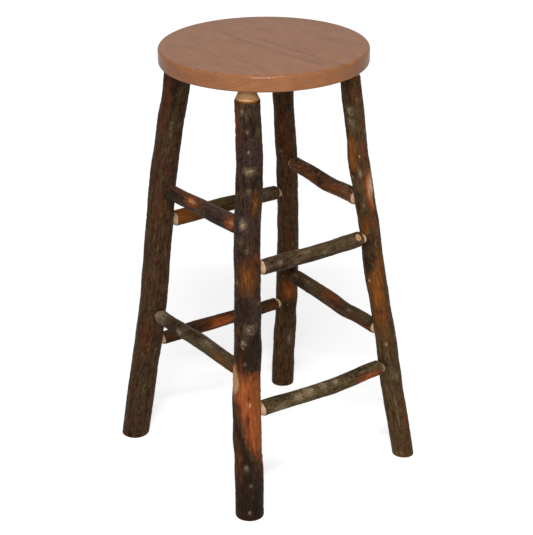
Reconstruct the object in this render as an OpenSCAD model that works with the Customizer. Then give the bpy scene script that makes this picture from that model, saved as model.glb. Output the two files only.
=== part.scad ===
// Rustic bar stool: a round seat of three edge-glued boards on four splayed poles with their bark on,
// tied by eight rungs whose round tenons are glued and pinned into the poles.
// Millimetres. The origin is on the floor under the middle of the seat, +Z is up, and -Y is the front.

/* [Seat] */
// Diameter of the round seat
seat_d = 356; // [330:1:400]
// Height of the seat's top above the floor
seat_h = 764; // [700:1:820]
// Thickness of the seat boards
seat_t = 28; // [26:1:36]
// Width of the middle board, between the two glue lines
middle_board_w = 118; // [90:1:150]
// Radius of the rounded top edge
seat_top_round = 5; // [2:0.5:8]
// Radius of the rounded bottom edge
seat_bottom_round = 4; // [2:0.5:8]

/* [Legs] */
// Distance between the centres of two neighbouring feet
foot_spread = 352; // [320:1:400]
// Distance between the centres of two neighbouring legs where they meet the seat
top_spread = 206; // [180:1:220]
// Mean diameter of a leg at the floor
leg_foot_d = 45; // [42:0.5:52]
// Mean diameter of a leg at the edge of its bark, under the seat
leg_top_d = 41; // [39:0.5:48]
// Length of the bare pencil point between the bark and the seat
leg_point_l = 22; // [16:1:30]
// Bevel round the sawn foot
foot_bevel = 2.5; // [1:0.5:4]

/* [Rungs] */
// Height of the upper rungs on the left and right
side_upper_h = 497; // [475:1:540]
// Height of the upper rungs at the front and back
front_upper_h = 430; // [390:1:445]
// Height of the lower rungs on the left and right
side_lower_h = 254; // [235:1:300]
// Height of the lower rungs at the front and back
front_lower_h = 186; // [140:1:200]
// Mean diameter of a rung over its bark
rung_d = 27; // [24:0.5:32]
// Length of the bare bevel on each end of a rung
rung_point_l = 9; // [6:0.5:14]

/* [Joints] */
// Diameter of the round tenon on top of a leg
leg_tenon_d = 28; // [22:0.5:30]
// Depth that the leg tenon goes into the seat
leg_tenon_l = 19; // [14:0.5:20]
// Diameter of the round tenon on the end of a rung
rung_tenon_d = 18; // [14:0.5:19]
// How far a rung tenon runs past the middle of the leg
rung_tenon_past = 4; // [0:0.5:6]
// Glue line left all round a tenon or a pin
glue_gap = 0.1; // [0.05:0.05:0.2]
// Space left at the blind end of a mortise
end_gap = 1; // [0.5:0.5:2]
// Clear space between a rung's bevel and the bark of the leg
shoulder_gap = 0.6; // [0.4:0.1:1.5]
// Diameter of the steel pin through each rung tenon
pin_d = 2; // [1.6:0.1:2.4]
// Length of the pin
pin_l = 28; // [26:1:30]
// Diameter of the pin's head
pin_head_d = 3.4; // [3:0.1:4]
// Thickness of the pin's head
pin_head_t = 0.8; // [0.6:0.1:1.2]
// Depth that the pin's head is set below the bark
pin_set = 0.6; // [0.4:0.1:1]

/* [Wood] */
// How far a pole is out of round, as a share of its radius
out_of_round = 0.014; // [0:0.002:0.03]
// Height that a trimmed twig stands proud of the bark
twig_proud = 1.6; // [0.5:0.1:3]
// Colour of the seat boards
seat_colour = "#9b7962";
// Colour of the bark
bark_colour = "#46352a";
// Colour of the pins
pin_colour = "#8d8d8a";

/* [Hidden] */

// Height of the seat's underside, where the legs enter it
under_h = seat_h - seat_t;
// Height at which the bark stops under the seat
bark_h = under_h - leg_point_l;
// Smoothness of every turned or drilled surface
$fn = 48;
// Sides and rings of the poles' skins
LEG_SIDES = 20;
LEG_RINGS = 24;
RUNG_SIDES = 16;
RUNG_RINGS = 14;
// Rings that round off a bare bevel
POINT_RINGS = 3;
// How far a bare point shrinks inside its tenon, and how far a tenon runs on inside its pole
POINT_SINK = 2;
TENON_ROOT = 12;
// Share of the leg's radius at which a pin crosses the tenon, counted from the middle of the leg
PIN_PLACE = 0.5;
// Length by which a cut runs on past the surface that it opens
CUT = 30;

// The legs, in this order everywhere
BACK_LEFT = 0;
FRONT_LEFT = 1;
FRONT_RIGHT = 2;
BACK_RIGHT = 3;
// Which way each leg stands from the middle
LEG_SIDE = [[-1, 1], [-1, -1], [1, -1], [1, 1]];
// How far each pole's foot and top stray from an even square
FOOT_STRAY = [[1, 3], [8, -9], [4, -2], [-8, 5]];
TOP_STRAY = [[0, 0], [-2, 2], [-2, 1], [7, -5]];
// How much thicker each pole is than the mean, at its foot and at its top
LEG_GIRTH = [[5.5, 5], [3.5, 2], [-6, -5], [-1.5, -3.5]];
// The crook of each pole: [share of the height, to the right, to the back, added thickness]
LEG_CROOK = [
    [[0, 0, 0, 0], [0.15, 2, 0, 0.5], [0.35, 4, -2, 0.5], [0.5, 2, 1, 0], [0.6, -1, 1, 0],
        [0.7, -3, 2, -0.5], [0.82, -1, 2, -0.5], [0.92, 1, 0, 0], [1, 0, 0, 0]],
    [[0, 0, 0, 0], [0.11, -1, 0, 0.5], [0.24, -4, 1, 1.5], [0.33, -3, 2, 1], [0.42, -1, 2, -0.5],
        [0.55, -2, 0, -1.5], [0.66, -3, -1, -0.5], [0.78, 1, -2, 0.5], [0.85, 3, -1, 0.5],
        [0.93, 1, 0, -0.5], [1, 0, 0, 0]],
    [[0, 0, 0, 0], [0.1, -1, 1, 0.5], [0.19, -3, 1, 1], [0.3, -2, 1, 0], [0.38, -2, 2, -1.5],
        [0.48, -5, 2, 0], [0.6, -4, 1, -1], [0.76, -5, 3, 0.5], [0.82, -4, 2, -1.5],
        [0.9, -2, 1, -0.5], [1, 0, 0, 0]],
    [[0, 0, 0, 0], [0.08, 2, 0, 0.5], [0.16, 4, -2, 0.5], [0.22, 6, -3, -1.5], [0.28, 7, -4, 0.5],
        [0.46, 9, -5, 0], [0.56, 8, -5, -0.5], [0.64, 7, -4, 0], [0.7, 6, -3, 0.5],
        [0.78, 3, -1, -1], [0.86, 1, 0, 0], [1, 0, 0, 0]]
];
// The rungs: [first leg, second leg, height at the first, height at the second, turn of the out-of-round,
//   crook as [share of the length, up, sideways, added thickness]]
LEFT_UPPER = [BACK_LEFT, FRONT_LEFT, side_upper_h, side_upper_h + 5, 1,
    [[0, 0, 0, -1.5], [0.25, 0, 1, -1], [0.55, 0.5, 2, 1], [0.8, 0, 1, 3], [1, 0, 0, 3]]];
BACK_UPPER = [BACK_LEFT, BACK_RIGHT, front_upper_h, front_upper_h + 1, 2,
    [[0, 0, 0, 2], [0.2, 0, -1, 1.5], [0.5, 1, -2, 0.5], [0.8, 0, -1, -0.5], [1, 0, 0, -0.5]]];
FRONT_UPPER = [FRONT_LEFT, FRONT_RIGHT, front_upper_h + 2, front_upper_h - 1, 3,
    [[0, 0, 0, 0.5], [0.2, 0, 1, 0.5], [0.5, -1, 2, -0.5], [0.8, -0.5, 1, -0.5],
        [0.9, 0, 0, 0], [1, 0, 0, 0]]];
RIGHT_UPPER = [BACK_RIGHT, FRONT_RIGHT, side_upper_h - 3, side_upper_h - 6, 4,
    [[0, 0, 0, -0.5], [0.3, 0.5, 1, -0.5], [0.5, -2, 2, 1.5], [0.62, -1.5, 2, 0],
        [0.8, 0.5, 1, 0], [1, 0, 0, 0]]];
LEFT_LOWER = [BACK_LEFT, FRONT_LEFT, side_lower_h, side_lower_h, 5,
    [[0, 0, 0, -1], [0.2, 0, 0, -1.5], [0.4, 0, -2, -1.5], [0.57, 1, -2, -0.5],
        [0.75, 0, -1, -1.5], [1, 0, 0, -1]]];
BACK_LOWER = [BACK_LEFT, BACK_RIGHT, front_lower_h + 3, front_lower_h + 4, 6,
    [[0, 0, 0, -3.5], [0.15, 0, 0, -3], [0.37, 1.5, 1, -1], [0.55, 1, 2, -3.5],
        [0.85, 0, 1, -3.5], [1, 0, 0, -3.5]]];
FRONT_LOWER = [FRONT_LEFT, FRONT_RIGHT, front_lower_h - 3, front_lower_h - 5, 7,
    [[0, 0, 0, 0], [0.14, 1, 0, 0], [0.35, -1.5, 1, -1], [0.58, -3.5, 1, 0],
        [0.76, -1, 1, 1], [0.9, 1.5, 0, 1], [1, 0, 0, 0]]];
RIGHT_LOWER = [BACK_RIGHT, FRONT_RIGHT, side_lower_h, side_lower_h - 11, 8,
    [[0, 0, 0, 0.5], [0.36, 0.5, 1, 1], [0.5, 0, 2, 1.5], [0.63, -2, 2, 0],
        [0.73, -0.5, 1, -1], [0.82, 0.5, 1, -1], [1, 0, 0, -2]]];
RUNGS = [LEFT_UPPER, BACK_UPPER, FRONT_UPPER, RIGHT_UPPER, LEFT_LOWER, BACK_LOWER, FRONT_LOWER, RIGHT_LOWER];
// Trimmed twigs on the legs: [leg, share of the height, compass angle, diameter]
LEG_TWIGS = [[FRONT_LEFT, 0.427, 217, 11], [FRONT_LEFT, 0.707, 212, 10], [FRONT_LEFT, 0.2, 80, 9],
    [FRONT_RIGHT, 0.48, 203, 7], [FRONT_RIGHT, 0.62, 20, 9], [BACK_LEFT, 0.3, 20, 11],
    [BACK_LEFT, 0.84, 100, 9], [BACK_RIGHT, 0.36, 70, 10]];
// Trimmed twigs on the rungs: [rung, share of the length, angle from straight up, diameter]
RUNG_TWIGS = [[FRONT_UPPER, 0.86, 50, 10], [LEFT_LOWER, 0.37, 74, 9], [BACK_LOWER, 0.3, 200, 8]];

// Blend from a to b by the share t
function blend(a, b, t) = a + (b - a) * t;
function unit(v) = v / norm(v);
// Rise of a list of stations at station k, from its neighbours
function rise(list, k) =
    let(a = max(k - 1, 0), b = min(k + 1, len(list) - 1))
    (list[b] - list[a]) / (list[b][0] - list[a][0]);
// Station before the share t
function station(list, t, k = 0) = k >= len(list) - 2 || t < list[k + 1][0] ? k : station(list, t, k + 1);
// Smooth curve through all stations, read at the share t
function crook(list, t) =
    let(k = station(list, t), h = list[k + 1][0] - list[k][0], u = (t - list[k][0]) / h)
    (2 * u^3 - 3 * u^2 + 1) * list[k] + (u^3 - 2 * u^2 + u) * h * rise(list, k)
    + (3 * u^2 - 2 * u^3) * list[k + 1] + (u^3 - u^2) * h * rise(list, k + 1);
// Share by which a grown pole swells at the angle a and the share t of its length
function grown(a, t, seed) =
    1 + out_of_round * cos(2 * a + 70 * seed + 120 * t)
    + 0.6 * out_of_round * cos(3 * a - 50 * seed + 260 * t);

// Middle of a leg's foot, and of its top at the seat's underside
function leg_foot(i) = concat(LEG_SIDE[i] * foot_spread / 2 + FOOT_STRAY[i], 0);
function leg_top(i) = concat(LEG_SIDE[i] * top_spread / 2 + TOP_STRAY[i], under_h);
function leg_axis(i) = unit(leg_top(i) - leg_foot(i));
// Middle, diameter and radius of a leg at a height
function leg_middle(i, z) =
    let(t = z / under_h, c = crook(LEG_CROOK[i], t))
    blend(leg_foot(i), leg_top(i), t) + [c[1], c[2], 0];
function leg_d(i, z) =
    let(t = z / under_h)
    blend(leg_foot_d + LEG_GIRTH[i][0], leg_top_d + LEG_GIRTH[i][1], t) + crook(LEG_CROOK[i], t)[3];
function leg_r(i, z, a) = leg_d(i, z) / 2 * grown(a, z / under_h, i);
function leg_ring(i, z, inset = 0) =
    [for (k = [0:LEG_SIDES - 1]) let(a = 360 * k / LEG_SIDES)
        leg_middle(i, z) + (leg_r(i, z, a) - inset) * [cos(a), sin(a), 0]];
// The pencil point: rings that shrink from the bark's edge to just inside the tenon
function leg_point_ring(i, u) =
    let(z = blend(bark_h, under_h - POINT_SINK, u), in_tenon = leg_tenon_d / 2 - POINT_SINK)
    [for (k = [0:LEG_SIDES - 1]) let(a = 360 * k / LEG_SIDES)
        blend(leg_middle(i, bark_h), leg_top(i), (z - bark_h) / leg_point_l)
        + blend(leg_r(i, bark_h, a), in_tenon, u) * [cos(a), sin(a), 0]];

// Ends of a rung's axis, on the middles of its two legs
function rung_start(g) = leg_middle(g[0], g[2]);
function rung_end(g) = leg_middle(g[1], g[3]);
function rung_axis(g) = unit(rung_end(g) - rung_start(g));
function rung_span(g) = norm(rung_end(g) - rung_start(g));
// Directions across a rung: upwards and sideways
function rung_up(g) = unit([0, 0, 1] - rung_axis(g) * rung_axis(g).z);
function rung_out(g) = cross(rung_axis(g), rung_up(g));
// Bark of the leg at a rung's end, counted along the rung
function bark_reach(i, z, way) = leg_r(i, z, atan2(way.y, way.x)) + shoulder_gap;
function rung_from(g) = bark_reach(g[0], g[2], rung_axis(g));
function rung_to(g) = rung_span(g) - bark_reach(g[1], g[3], -rung_axis(g));
function rung_r(g, t, a) = (rung_d + crook(g[5], t)[3]) / 2 * grown(a, t, g[4]);
// Point of a rung's skin at the length s, the angle a from straight up and the radius r
function rung_point(g, s, a, r) =
    let(c = crook(g[5], s / rung_span(g)))
    rung_start(g) + rung_axis(g) * s + rung_up(g) * (c[1] + r * cos(a)) + rung_out(g) * (c[2] + r * sin(a));
// Ring of a rung whose radius has grown by the share u from inside the tenon to full thickness
function rung_ring(g, s, u) =
    [for (k = [0:RUNG_SIDES - 1]) let(a = 360 * k / RUNG_SIDES)
        rung_point(g, s, a, blend(rung_tenon_d / 2 - POINT_SINK, rung_r(g, s / rung_span(g), a), u))];

// Closed skin over rings of equally many points
module skin(rings) {
    n = len(rings[0]);
    m = len(rings);
    points = [for (ring = rings) each ring];
    walls = [for (j = [0:m - 2], k = [0:n - 1]) let(q = (k + 1) % n)
        each [[j * n + k, (j + 1) * n + k, (j + 1) * n + q], [j * n + k, (j + 1) * n + q, j * n + q]]];
    floor_cap = [[for (k = [0:n - 1]) k]];
    roof_cap = [[for (k = [n - 1:-1:0]) (m - 1) * n + k]];
    polyhedron(points, concat(floor_cap, walls, roof_cap));
}
// Place children with their +Z along a direction
module along(from, way) {
    translate(from)
        rotate([0, acos(way.z), atan2(way.y, way.x)])
            children();
}

// The whole round seat before it is divided into boards
module seat_round() {
    r = seat_d / 2;
    half = seat_t / 2;
    translate([0, 0, under_h])
        rotate_extrude($fn = 180) {
            translate([0, half]) square([r - seat_top_round, half]);
            square([r - seat_bottom_round, half]);
            translate([0, seat_bottom_round]) square([r, seat_t - seat_bottom_round - seat_top_round]);
            translate([r - seat_top_round, seat_t - seat_top_round]) circle(seat_top_round);
            translate([r - seat_bottom_round, seat_bottom_round]) circle(seat_bottom_round);
        }
}
// One board: the seat between two glue lines, less the mortises for the legs
module seat_board(left, right) {
    color(seat_colour)
        difference() {
            intersection() {
                seat_round();
                translate([left, -seat_d, under_h - CUT]) cube([right - left, 2 * seat_d, seat_t + 2 * CUT]);
            }
            for (i = [0:3])
                along(leg_top(i) + (leg_tenon_l + end_gap) * leg_axis(i), -leg_axis(i))
                    cylinder(d = leg_tenon_d + 2 * glue_gap, h = leg_tenon_l + end_gap + CUT);
        }
}
module seat_left_board() { seat_board(-seat_d, -middle_board_w / 2); }
module seat_middle_board() { seat_board(-middle_board_w / 2, middle_board_w / 2); }
module seat_right_board() { seat_board(middle_board_w / 2, seat_d); }

// A mortise in a leg for one end of a rung
module mortise(from, way) {
    along(from - (rung_tenon_past + end_gap) * way, way)
        cylinder(d = rung_tenon_d + 2 * glue_gap, h = rung_tenon_past + end_gap + leg_foot_d);
}
// A tenon on one end of a rung, from past the leg's middle into the rung
module tenon(from, way, reach) {
    along(from - rung_tenon_past * way, way)
        cylinder(d = rung_tenon_d, h = rung_tenon_past + reach + TENON_ROOT);
}
// The two ends of every rung: [leg, height, point on the leg's middle, direction into the rung]
function rung_ends(g) = [[g[0], g[2], rung_start(g), rung_axis(g)], [g[1], g[3], rung_end(g), -rung_axis(g)]];
// A pin is driven level from the inner face of the leg, square to the rung
function pin_way(e) = let(to_middle = [-e[2].x, -e[2].y, 0], way = unit([e[3].x, e[3].y, 0]))
    unit(to_middle - way * (to_middle * way));
function pin_cross(e) = e[2] + e[3] * PIN_PLACE * leg_d(e[0], e[1]) / 2;
function pin_depth(e) = leg_d(e[0], e[1]) / 2 * sqrt(1 - PIN_PLACE^2) - pin_set;
// A pin, or its hole when there is room round it
module pin(e, room, over) {
    along(pin_cross(e) + pin_way(e) * (pin_depth(e) + over), -pin_way(e)) {
        cylinder(d = pin_head_d + 2 * room, h = over + pin_head_t + room);
        cylinder(d = pin_d + 2 * room, h = over + pin_l + room, $fn = 24);
    }
}

module leg(i) {
    body = [for (j = [0:LEG_RINGS]) leg_ring(i, blend(foot_bevel, bark_h, j / LEG_RINGS))];
    color(bark_colour)
        difference() {
            union() {
                skin(concat([leg_ring(i, 0, foot_bevel)], body,
                    [for (j = [1:POINT_RINGS]) leg_point_ring(i, j / POINT_RINGS)]));
                along(leg_top(i) - TENON_ROOT * leg_axis(i), leg_axis(i))
                    cylinder(d = leg_tenon_d, h = TENON_ROOT + leg_tenon_l);
                for (w = LEG_TWIGS)
                    if (w[0] == i) leg_twig(w);
            }
            for (g = RUNGS, e = rung_ends(g))
                if (e[0] == i) {
                    mortise(e[2], e[3]);
                    pin(e, glue_gap, CUT);
                }
        }
}
// A trimmed twig on a leg: a short stub with a sawn face
module leg_twig(w) {
    z = w[1] * under_h;
    way = [cos(w[2]), sin(w[2]), 0];
    along(leg_middle(w[0], z), way)
        cylinder(d1 = 2 * w[3], d2 = w[3], h = leg_r(w[0], z, w[2]) + twig_proud);
}
module rung_twig(w) {
    g = w[0];
    s = w[1] * rung_span(g);
    way = rung_up(g) * cos(w[2]) + rung_out(g) * sin(w[2]);
    along(rung_point(g, s, 0, 0), way)
        cylinder(d1 = 1.5 * w[3], d2 = w[3], h = rung_r(g, w[1], w[2]) + twig_proud);
}
module rung(g) {
    from = rung_from(g);
    to = rung_to(g);
    // The bevel rises quickly and then rounds into the bark
    bevel = [for (j = [0:POINT_RINGS - 1]) [rung_point_l * j / POINT_RINGS, sin(90 * j / POINT_RINGS)]];
    start = [for (b = bevel) [from + b[0], b[1]]];
    body = [for (j = [0:RUNG_RINGS]) [blend(from + rung_point_l, to - rung_point_l, j / RUNG_RINGS), 1]];
    finish = [for (j = [POINT_RINGS - 1:-1:0]) [to - bevel[j][0], bevel[j][1]]];
    color(bark_colour)
        difference() {
            union() {
                skin([for (s = concat(start, body, finish)) rung_ring(g, s[0], s[1])]);
                tenon(rung_start(g), rung_axis(g), from);
                tenon(rung_end(g), -rung_axis(g), rung_span(g) - to);
                for (w = RUNG_TWIGS)
                    if (w[0] == g) rung_twig(w);
            }
            for (e = rung_ends(g)) pin(e, glue_gap, 0);
        }
}

module back_left_leg() { leg(BACK_LEFT); }
module front_left_leg() { leg(FRONT_LEFT); }
module front_right_leg() { leg(FRONT_RIGHT); }
module back_right_leg() { leg(BACK_RIGHT); }
module left_upper_rung() { rung(LEFT_UPPER); }
module back_upper_rung() { rung(BACK_UPPER); }
module front_upper_rung() { rung(FRONT_UPPER); }
module right_upper_rung() { rung(RIGHT_UPPER); }
module left_lower_rung() { rung(LEFT_LOWER); }
module back_lower_rung() { rung(BACK_LOWER); }
module front_lower_rung() { rung(FRONT_LOWER); }
module right_lower_rung() { rung(RIGHT_LOWER); }
// Sixteen alike pins, one through each rung tenon
module rung_pins() {
    color(pin_colour)
        for (g = RUNGS, e = rung_ends(g)) pin(e, 0, 0);
}

seat_left_board();
seat_middle_board();
seat_right_board();
back_left_leg();
front_left_leg();
front_right_leg();
back_right_leg();
left_upper_rung();
back_upper_rung();
front_upper_rung();
right_upper_rung();
left_lower_rung();
back_lower_rung();
front_lower_rung();
right_lower_rung();
rung_pins();
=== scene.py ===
# %% [markdown]
# # A rustic bar stool
#
# The real stool has a round oak seat, glued up from three boards, on four splayed hickory poles. Eight thin
# hickory rungs tie the poles together. The poles still wear their bark, so no two stretches look alike: there
# are streaks, peeled patches, lichen and knots, and only the sawn and shaved ends show pale wood.
#
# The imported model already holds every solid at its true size. This lesson dresses it: the poles get a fine
# skin worked out with numpy, and every surface gets a finish made of shader nodes.

import bpy
import numpy as np
from mathutils import Matrix, Vector


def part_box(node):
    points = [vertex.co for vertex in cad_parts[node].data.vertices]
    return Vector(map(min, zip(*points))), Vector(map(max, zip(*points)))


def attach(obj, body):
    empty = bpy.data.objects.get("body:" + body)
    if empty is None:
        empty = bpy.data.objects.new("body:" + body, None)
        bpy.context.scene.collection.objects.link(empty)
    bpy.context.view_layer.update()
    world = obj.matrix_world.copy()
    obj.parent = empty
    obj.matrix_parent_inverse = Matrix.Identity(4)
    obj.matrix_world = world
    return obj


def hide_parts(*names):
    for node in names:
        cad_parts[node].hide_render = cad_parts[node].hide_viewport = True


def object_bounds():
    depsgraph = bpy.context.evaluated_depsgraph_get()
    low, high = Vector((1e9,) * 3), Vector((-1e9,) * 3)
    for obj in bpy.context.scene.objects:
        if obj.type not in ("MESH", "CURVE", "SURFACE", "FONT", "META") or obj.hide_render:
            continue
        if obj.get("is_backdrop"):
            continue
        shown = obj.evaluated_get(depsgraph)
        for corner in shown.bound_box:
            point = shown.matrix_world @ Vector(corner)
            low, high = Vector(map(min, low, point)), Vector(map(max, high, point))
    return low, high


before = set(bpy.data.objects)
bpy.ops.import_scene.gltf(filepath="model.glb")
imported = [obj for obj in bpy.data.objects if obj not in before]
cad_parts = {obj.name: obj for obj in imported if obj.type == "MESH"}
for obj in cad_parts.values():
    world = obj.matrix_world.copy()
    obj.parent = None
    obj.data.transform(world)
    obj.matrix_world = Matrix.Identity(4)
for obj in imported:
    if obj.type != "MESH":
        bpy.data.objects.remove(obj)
CAD_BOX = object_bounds()
MM = 0.001
print("nodes:", len(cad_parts), "height in mm:", round(CAD_BOX[1].z / MM))

# %% [markdown]
# ## Camera
#
# The photograph was taken from the front left, from about eye height and nearly three metres away, with a
# long lens. A camera object needs three directions: its right, its up and the one that it looks along. The
# picture leans by less than half a degree, so right and up are turned by that angle round the view.

# %% Camera
CAMERA_PLACE = Vector((-1.594, -2.250, 1.5705))
CAMERA_LOOKS = Vector((0.5301, 0.7458, -0.4035)).normalized()
CAMERA_LEAN = -0.0069
SENSOR_WIDTH = 36.0
LENS = 114.42
LENS_SHIFT = (-0.0026, 0.0009)


def stand_camera():
    """Place the camera from its spot, its line of sight and its lean, all in the stool's own frame."""
    level = CAMERA_LOOKS.cross(Vector((0, 0, 1))).normalized()
    above = level.cross(CAMERA_LOOKS)
    right = level * np.cos(CAMERA_LEAN) + above * np.sin(CAMERA_LEAN)
    up = above * np.cos(CAMERA_LEAN) - level * np.sin(CAMERA_LEAN)
    data = bpy.data.cameras.new("camera")
    data.sensor_width = SENSOR_WIDTH
    data.lens = LENS
    data.shift_x, data.shift_y = LENS_SHIFT
    camera = bpy.data.objects.new("camera", data)
    bpy.context.scene.collection.objects.link(camera)
    facing = Matrix((right, up, -CAMERA_LOOKS)).transposed().to_4x4()
    camera.matrix_world = Matrix.Translation(CAMERA_PLACE) @ facing
    bpy.context.scene.camera = camera
    return camera


camera = stand_camera()
print("camera stands", round(camera.location.length, 2), "m from the floor under the seat's middle")

# %% [markdown]
# ## Joining nodes
#
# A shader is a graph of nodes. Written out call by call it is long and hard to read, so small helpers do the
# joining. One feeds a socket from another socket or sets it to a plain value, one adds a node with its
# settings and inputs at once, and a few more do this for the nodes that are used most. Another makes a node
# group with named sockets, so that an effect is built once and used in many materials. The last ones make a
# material and hand a finish to its shader.

# %% Node helpers
def feed(tree, value, socket):
    """Link a socket to another one, or set it to a number, a vector or a colour."""
    if isinstance(value, bpy.types.NodeSocket):
        tree.links.new(value, socket)
    else:
        socket.default_value = value


def node(tree, kind, inputs=(), **settings):
    """Add a node. Its settings come first, because some of them change which sockets it has."""
    made = tree.nodes.new(kind)
    for name, value in settings.items():
        setattr(made, name, value)
    for key, value in dict(inputs).items():
        feed(tree, value, made.inputs[key])
    return made


def maths(tree, operation, *values):
    """One arithmetic node over plain numbers or sockets."""
    return node(tree, "ShaderNodeMath", enumerate(values), operation=operation).outputs[0]


def vector_maths(tree, operation, *values):
    """One node over plain vectors or sockets. A length comes out as a number, all else as a vector."""
    made = node(tree, "ShaderNodeVectorMath", enumerate(values), operation=operation)
    return made.outputs["Value" if operation == "LENGTH" else "Vector"]


def scaled(tree, vector, factor):
    """A vector times a number."""
    return node(tree, "ShaderNodeVectorMath", {0: vector, 3: factor}, operation="SCALE").outputs["Vector"]


def tint(tree, share, under, over):
    """Lay one colour over another by a share from 0 to 1."""
    return node(tree, "ShaderNodeMix", {0: share, 6: under, 7: over}, data_type="RGBA").outputs[2]


def spread(tree, value, low, high, to_low=0.0, to_high=1.0, smooth=True):
    """Stretch the range from low to high over another range, and stop at its ends."""
    kind = "SMOOTHSTEP" if smooth else "LINEAR"
    sockets = {"Value": value, "From Min": low, "From Max": high, "To Min": to_low, "To Max": to_high}
    return node(tree, "ShaderNodeMapRange", sockets, interpolation_type=kind).outputs[0]


def new_group(name, inputs, outputs):
    """Make an empty node group. Inputs are (name, kind, value) and outputs are (name, kind)."""
    tree = bpy.data.node_groups.new(name, "ShaderNodeTree")
    for title, kind, value in inputs:
        tree.interface.new_socket(title, in_out="INPUT", socket_type=kind).default_value = value
    for title, kind in outputs:
        tree.interface.new_socket(title, in_out="OUTPUT", socket_type=kind)
    return tree, tree.nodes.new("NodeGroupInput").outputs, tree.nodes.new("NodeGroupOutput").inputs


def use_group(tree, group, inputs):
    """Place a node group in a tree and return its outputs."""
    made = tree.nodes.new("ShaderNodeGroup")
    made.node_tree = group
    for key, value in inputs.items():
        feed(tree, value, made.inputs[key])
    return made.outputs


def srgb(red, green, blue):
    """A colour as a screen shows it, from 0 to 255, as the linear colour that a shader takes."""
    shown = np.array([red, green, blue]) / 255
    linear = np.where(shown <= 0.04045, shown / 12.92, ((shown + 0.055) / 1.055) ** 2.4)
    return (*linear.tolist(), 1.0)


print("node helpers ready")

# %% Material helpers
FINISH = [("Color", "NodeSocketColor"), ("Roughness", "NodeSocketFloat"), ("Height", "NodeSocketFloat")]


def new_paint(name):
    """Make a material, and give its node tree and its shader too."""
    paint = bpy.data.materials.new(name)
    paint.use_nodes = True
    return paint, paint.node_tree, paint.node_tree.nodes["Principled BSDF"]


def show_finish(tree, shader, finish, depth, strength, shine):
    """Feed a finish to the shader, its height as a bump of a given depth, and set what is alike all over."""
    bump = node(tree, "ShaderNodeBump", {"Height": finish["Height"], "Distance": depth, "Strength": strength})
    feed(tree, finish["Color"], shader.inputs["Base Color"])
    feed(tree, finish["Roughness"], shader.inputs["Roughness"])
    feed(tree, bump.outputs[0], shader.inputs["Normal"])
    for title, value in shine.items():
        shader.inputs[title].default_value = value


def put_on(piece, paint):
    """Make this the piece's only material."""
    piece.data.materials.clear()
    piece.data.materials.append(paint)


print("a finish has", ", ".join(title for title, _ in FINISH))

# %% [markdown]
# ## Floor, world and lamps
#
# The photograph's ground is plain white. The floor is pale and takes the stool's shadow like any floor, and
# only for rays from the camera and for reflections some of its own light is added, so that it shows as white.
# The world does the same. The lamps stay at a plain level: a large soft one beside the camera, which is why
# the poles are lightest in the middle, and a long narrow one higher up. Only the narrow one has a sharp
# mirror image: it is the thin line of light on the seat's rounded edge.

# %% Floor and world
WORLD_LIGHT = 0.25
FLOOR_HALF, FLOOR_PALE = 6.0, (0.82, 0.82, 0.82, 1)
# Where the floor's own light starts and stops to grow, in metres, and how strong it is at both
GLOW_REACH, FLOOR_GLOW = (0.6, 3.0), (0.6, 0.8)


def seen_ray(tree):
    """1 for rays that show the background: from the camera, by reflection or through glass."""
    rays = tree.nodes.new("ShaderNodeLightPath").outputs
    seen = maths(tree, "MAXIMUM", rays["Is Camera Ray"], rays["Is Glossy Ray"])
    return maths(tree, "MAXIMUM", seen, rays["Is Transmission Ray"])


def lay_floor():
    """A wide pale square at height 0, with its own light for seen rays alone. That light is weaker near the
    stool, so that its shadow stays, and grows further out, where less comes from the lamps."""
    mesh = bpy.data.meshes.new("floor")
    square = [(x * FLOOR_HALF, y * FLOOR_HALF, 0) for x, y in ((-1, -1), (1, -1), (1, 1), (-1, 1))]
    mesh.from_pydata(square, [], [(0, 1, 2, 3)])
    floor = bpy.data.objects.new("floor", mesh)
    bpy.context.scene.collection.objects.link(floor)
    paint = bpy.data.materials.new("pale_floor")
    paint.use_nodes = True
    tree = paint.node_tree
    tree.nodes.clear()
    matt = node(tree, "ShaderNodeBsdfDiffuse", {"Color": FLOOR_PALE})
    away = vector_maths(tree, "LENGTH", tree.nodes.new("ShaderNodeTexCoord").outputs["Object"])
    strength = maths(tree, "MULTIPLY", seen_ray(tree), spread(tree, away, *GLOW_REACH, *FLOOR_GLOW))
    glow = node(tree, "ShaderNodeEmission", {"Strength": strength})
    both = node(tree, "ShaderNodeAddShader", {0: matt.outputs[0], 1: glow.outputs[0]})
    node(tree, "ShaderNodeOutputMaterial", {"Surface": both.outputs[0]})
    mesh.materials.append(paint)
    floor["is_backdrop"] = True


def light_world():
    """White where it is seen, and a soft even light everywhere else."""
    world = bpy.data.worlds.new("studio")
    bpy.context.scene.world = world
    world.use_nodes = True
    tree = world.node_tree
    tree.nodes.clear()
    strength = spread(tree, seen_ray(tree), 0, 1, WORLD_LIGHT, 1.0, smooth=False)
    sky = node(tree, "ShaderNodeBackground", {"Color": (1, 1, 1, 1), "Strength": strength})
    node(tree, "ShaderNodeOutputWorld", {"Surface": sky.outputs[0]})


lay_floor()
light_world()
print("floor and world ready, world light", WORLD_LIGHT)

# %% Lamps
# Place, width and height in metres, and watts
LAMPS = {
    "key": ((-1.65, -2.1, 2.0), 1.1, 1.1, 42),
    "strip": ((-0.9, -1.27, 2.73), 1.4, 0.12, 38),
}
LAMP_AIM = Vector((0, 0, 0.4))


def hang_lamp(name, place, wide, high, watts):
    """A flat lamp that faces the middle of the stool."""
    data = bpy.data.lights.new(name, "AREA")
    data.shape = "RECTANGLE"
    data.size, data.size_y = wide, high
    data.energy = watts
    lamp = bpy.data.objects.new(name, data)
    bpy.context.scene.collection.objects.link(lamp)
    lamp.location = place
    lamp.rotation_euler = (LAMP_AIM - Vector(place)).to_track_quat("-Z", "Y").to_euler()


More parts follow.
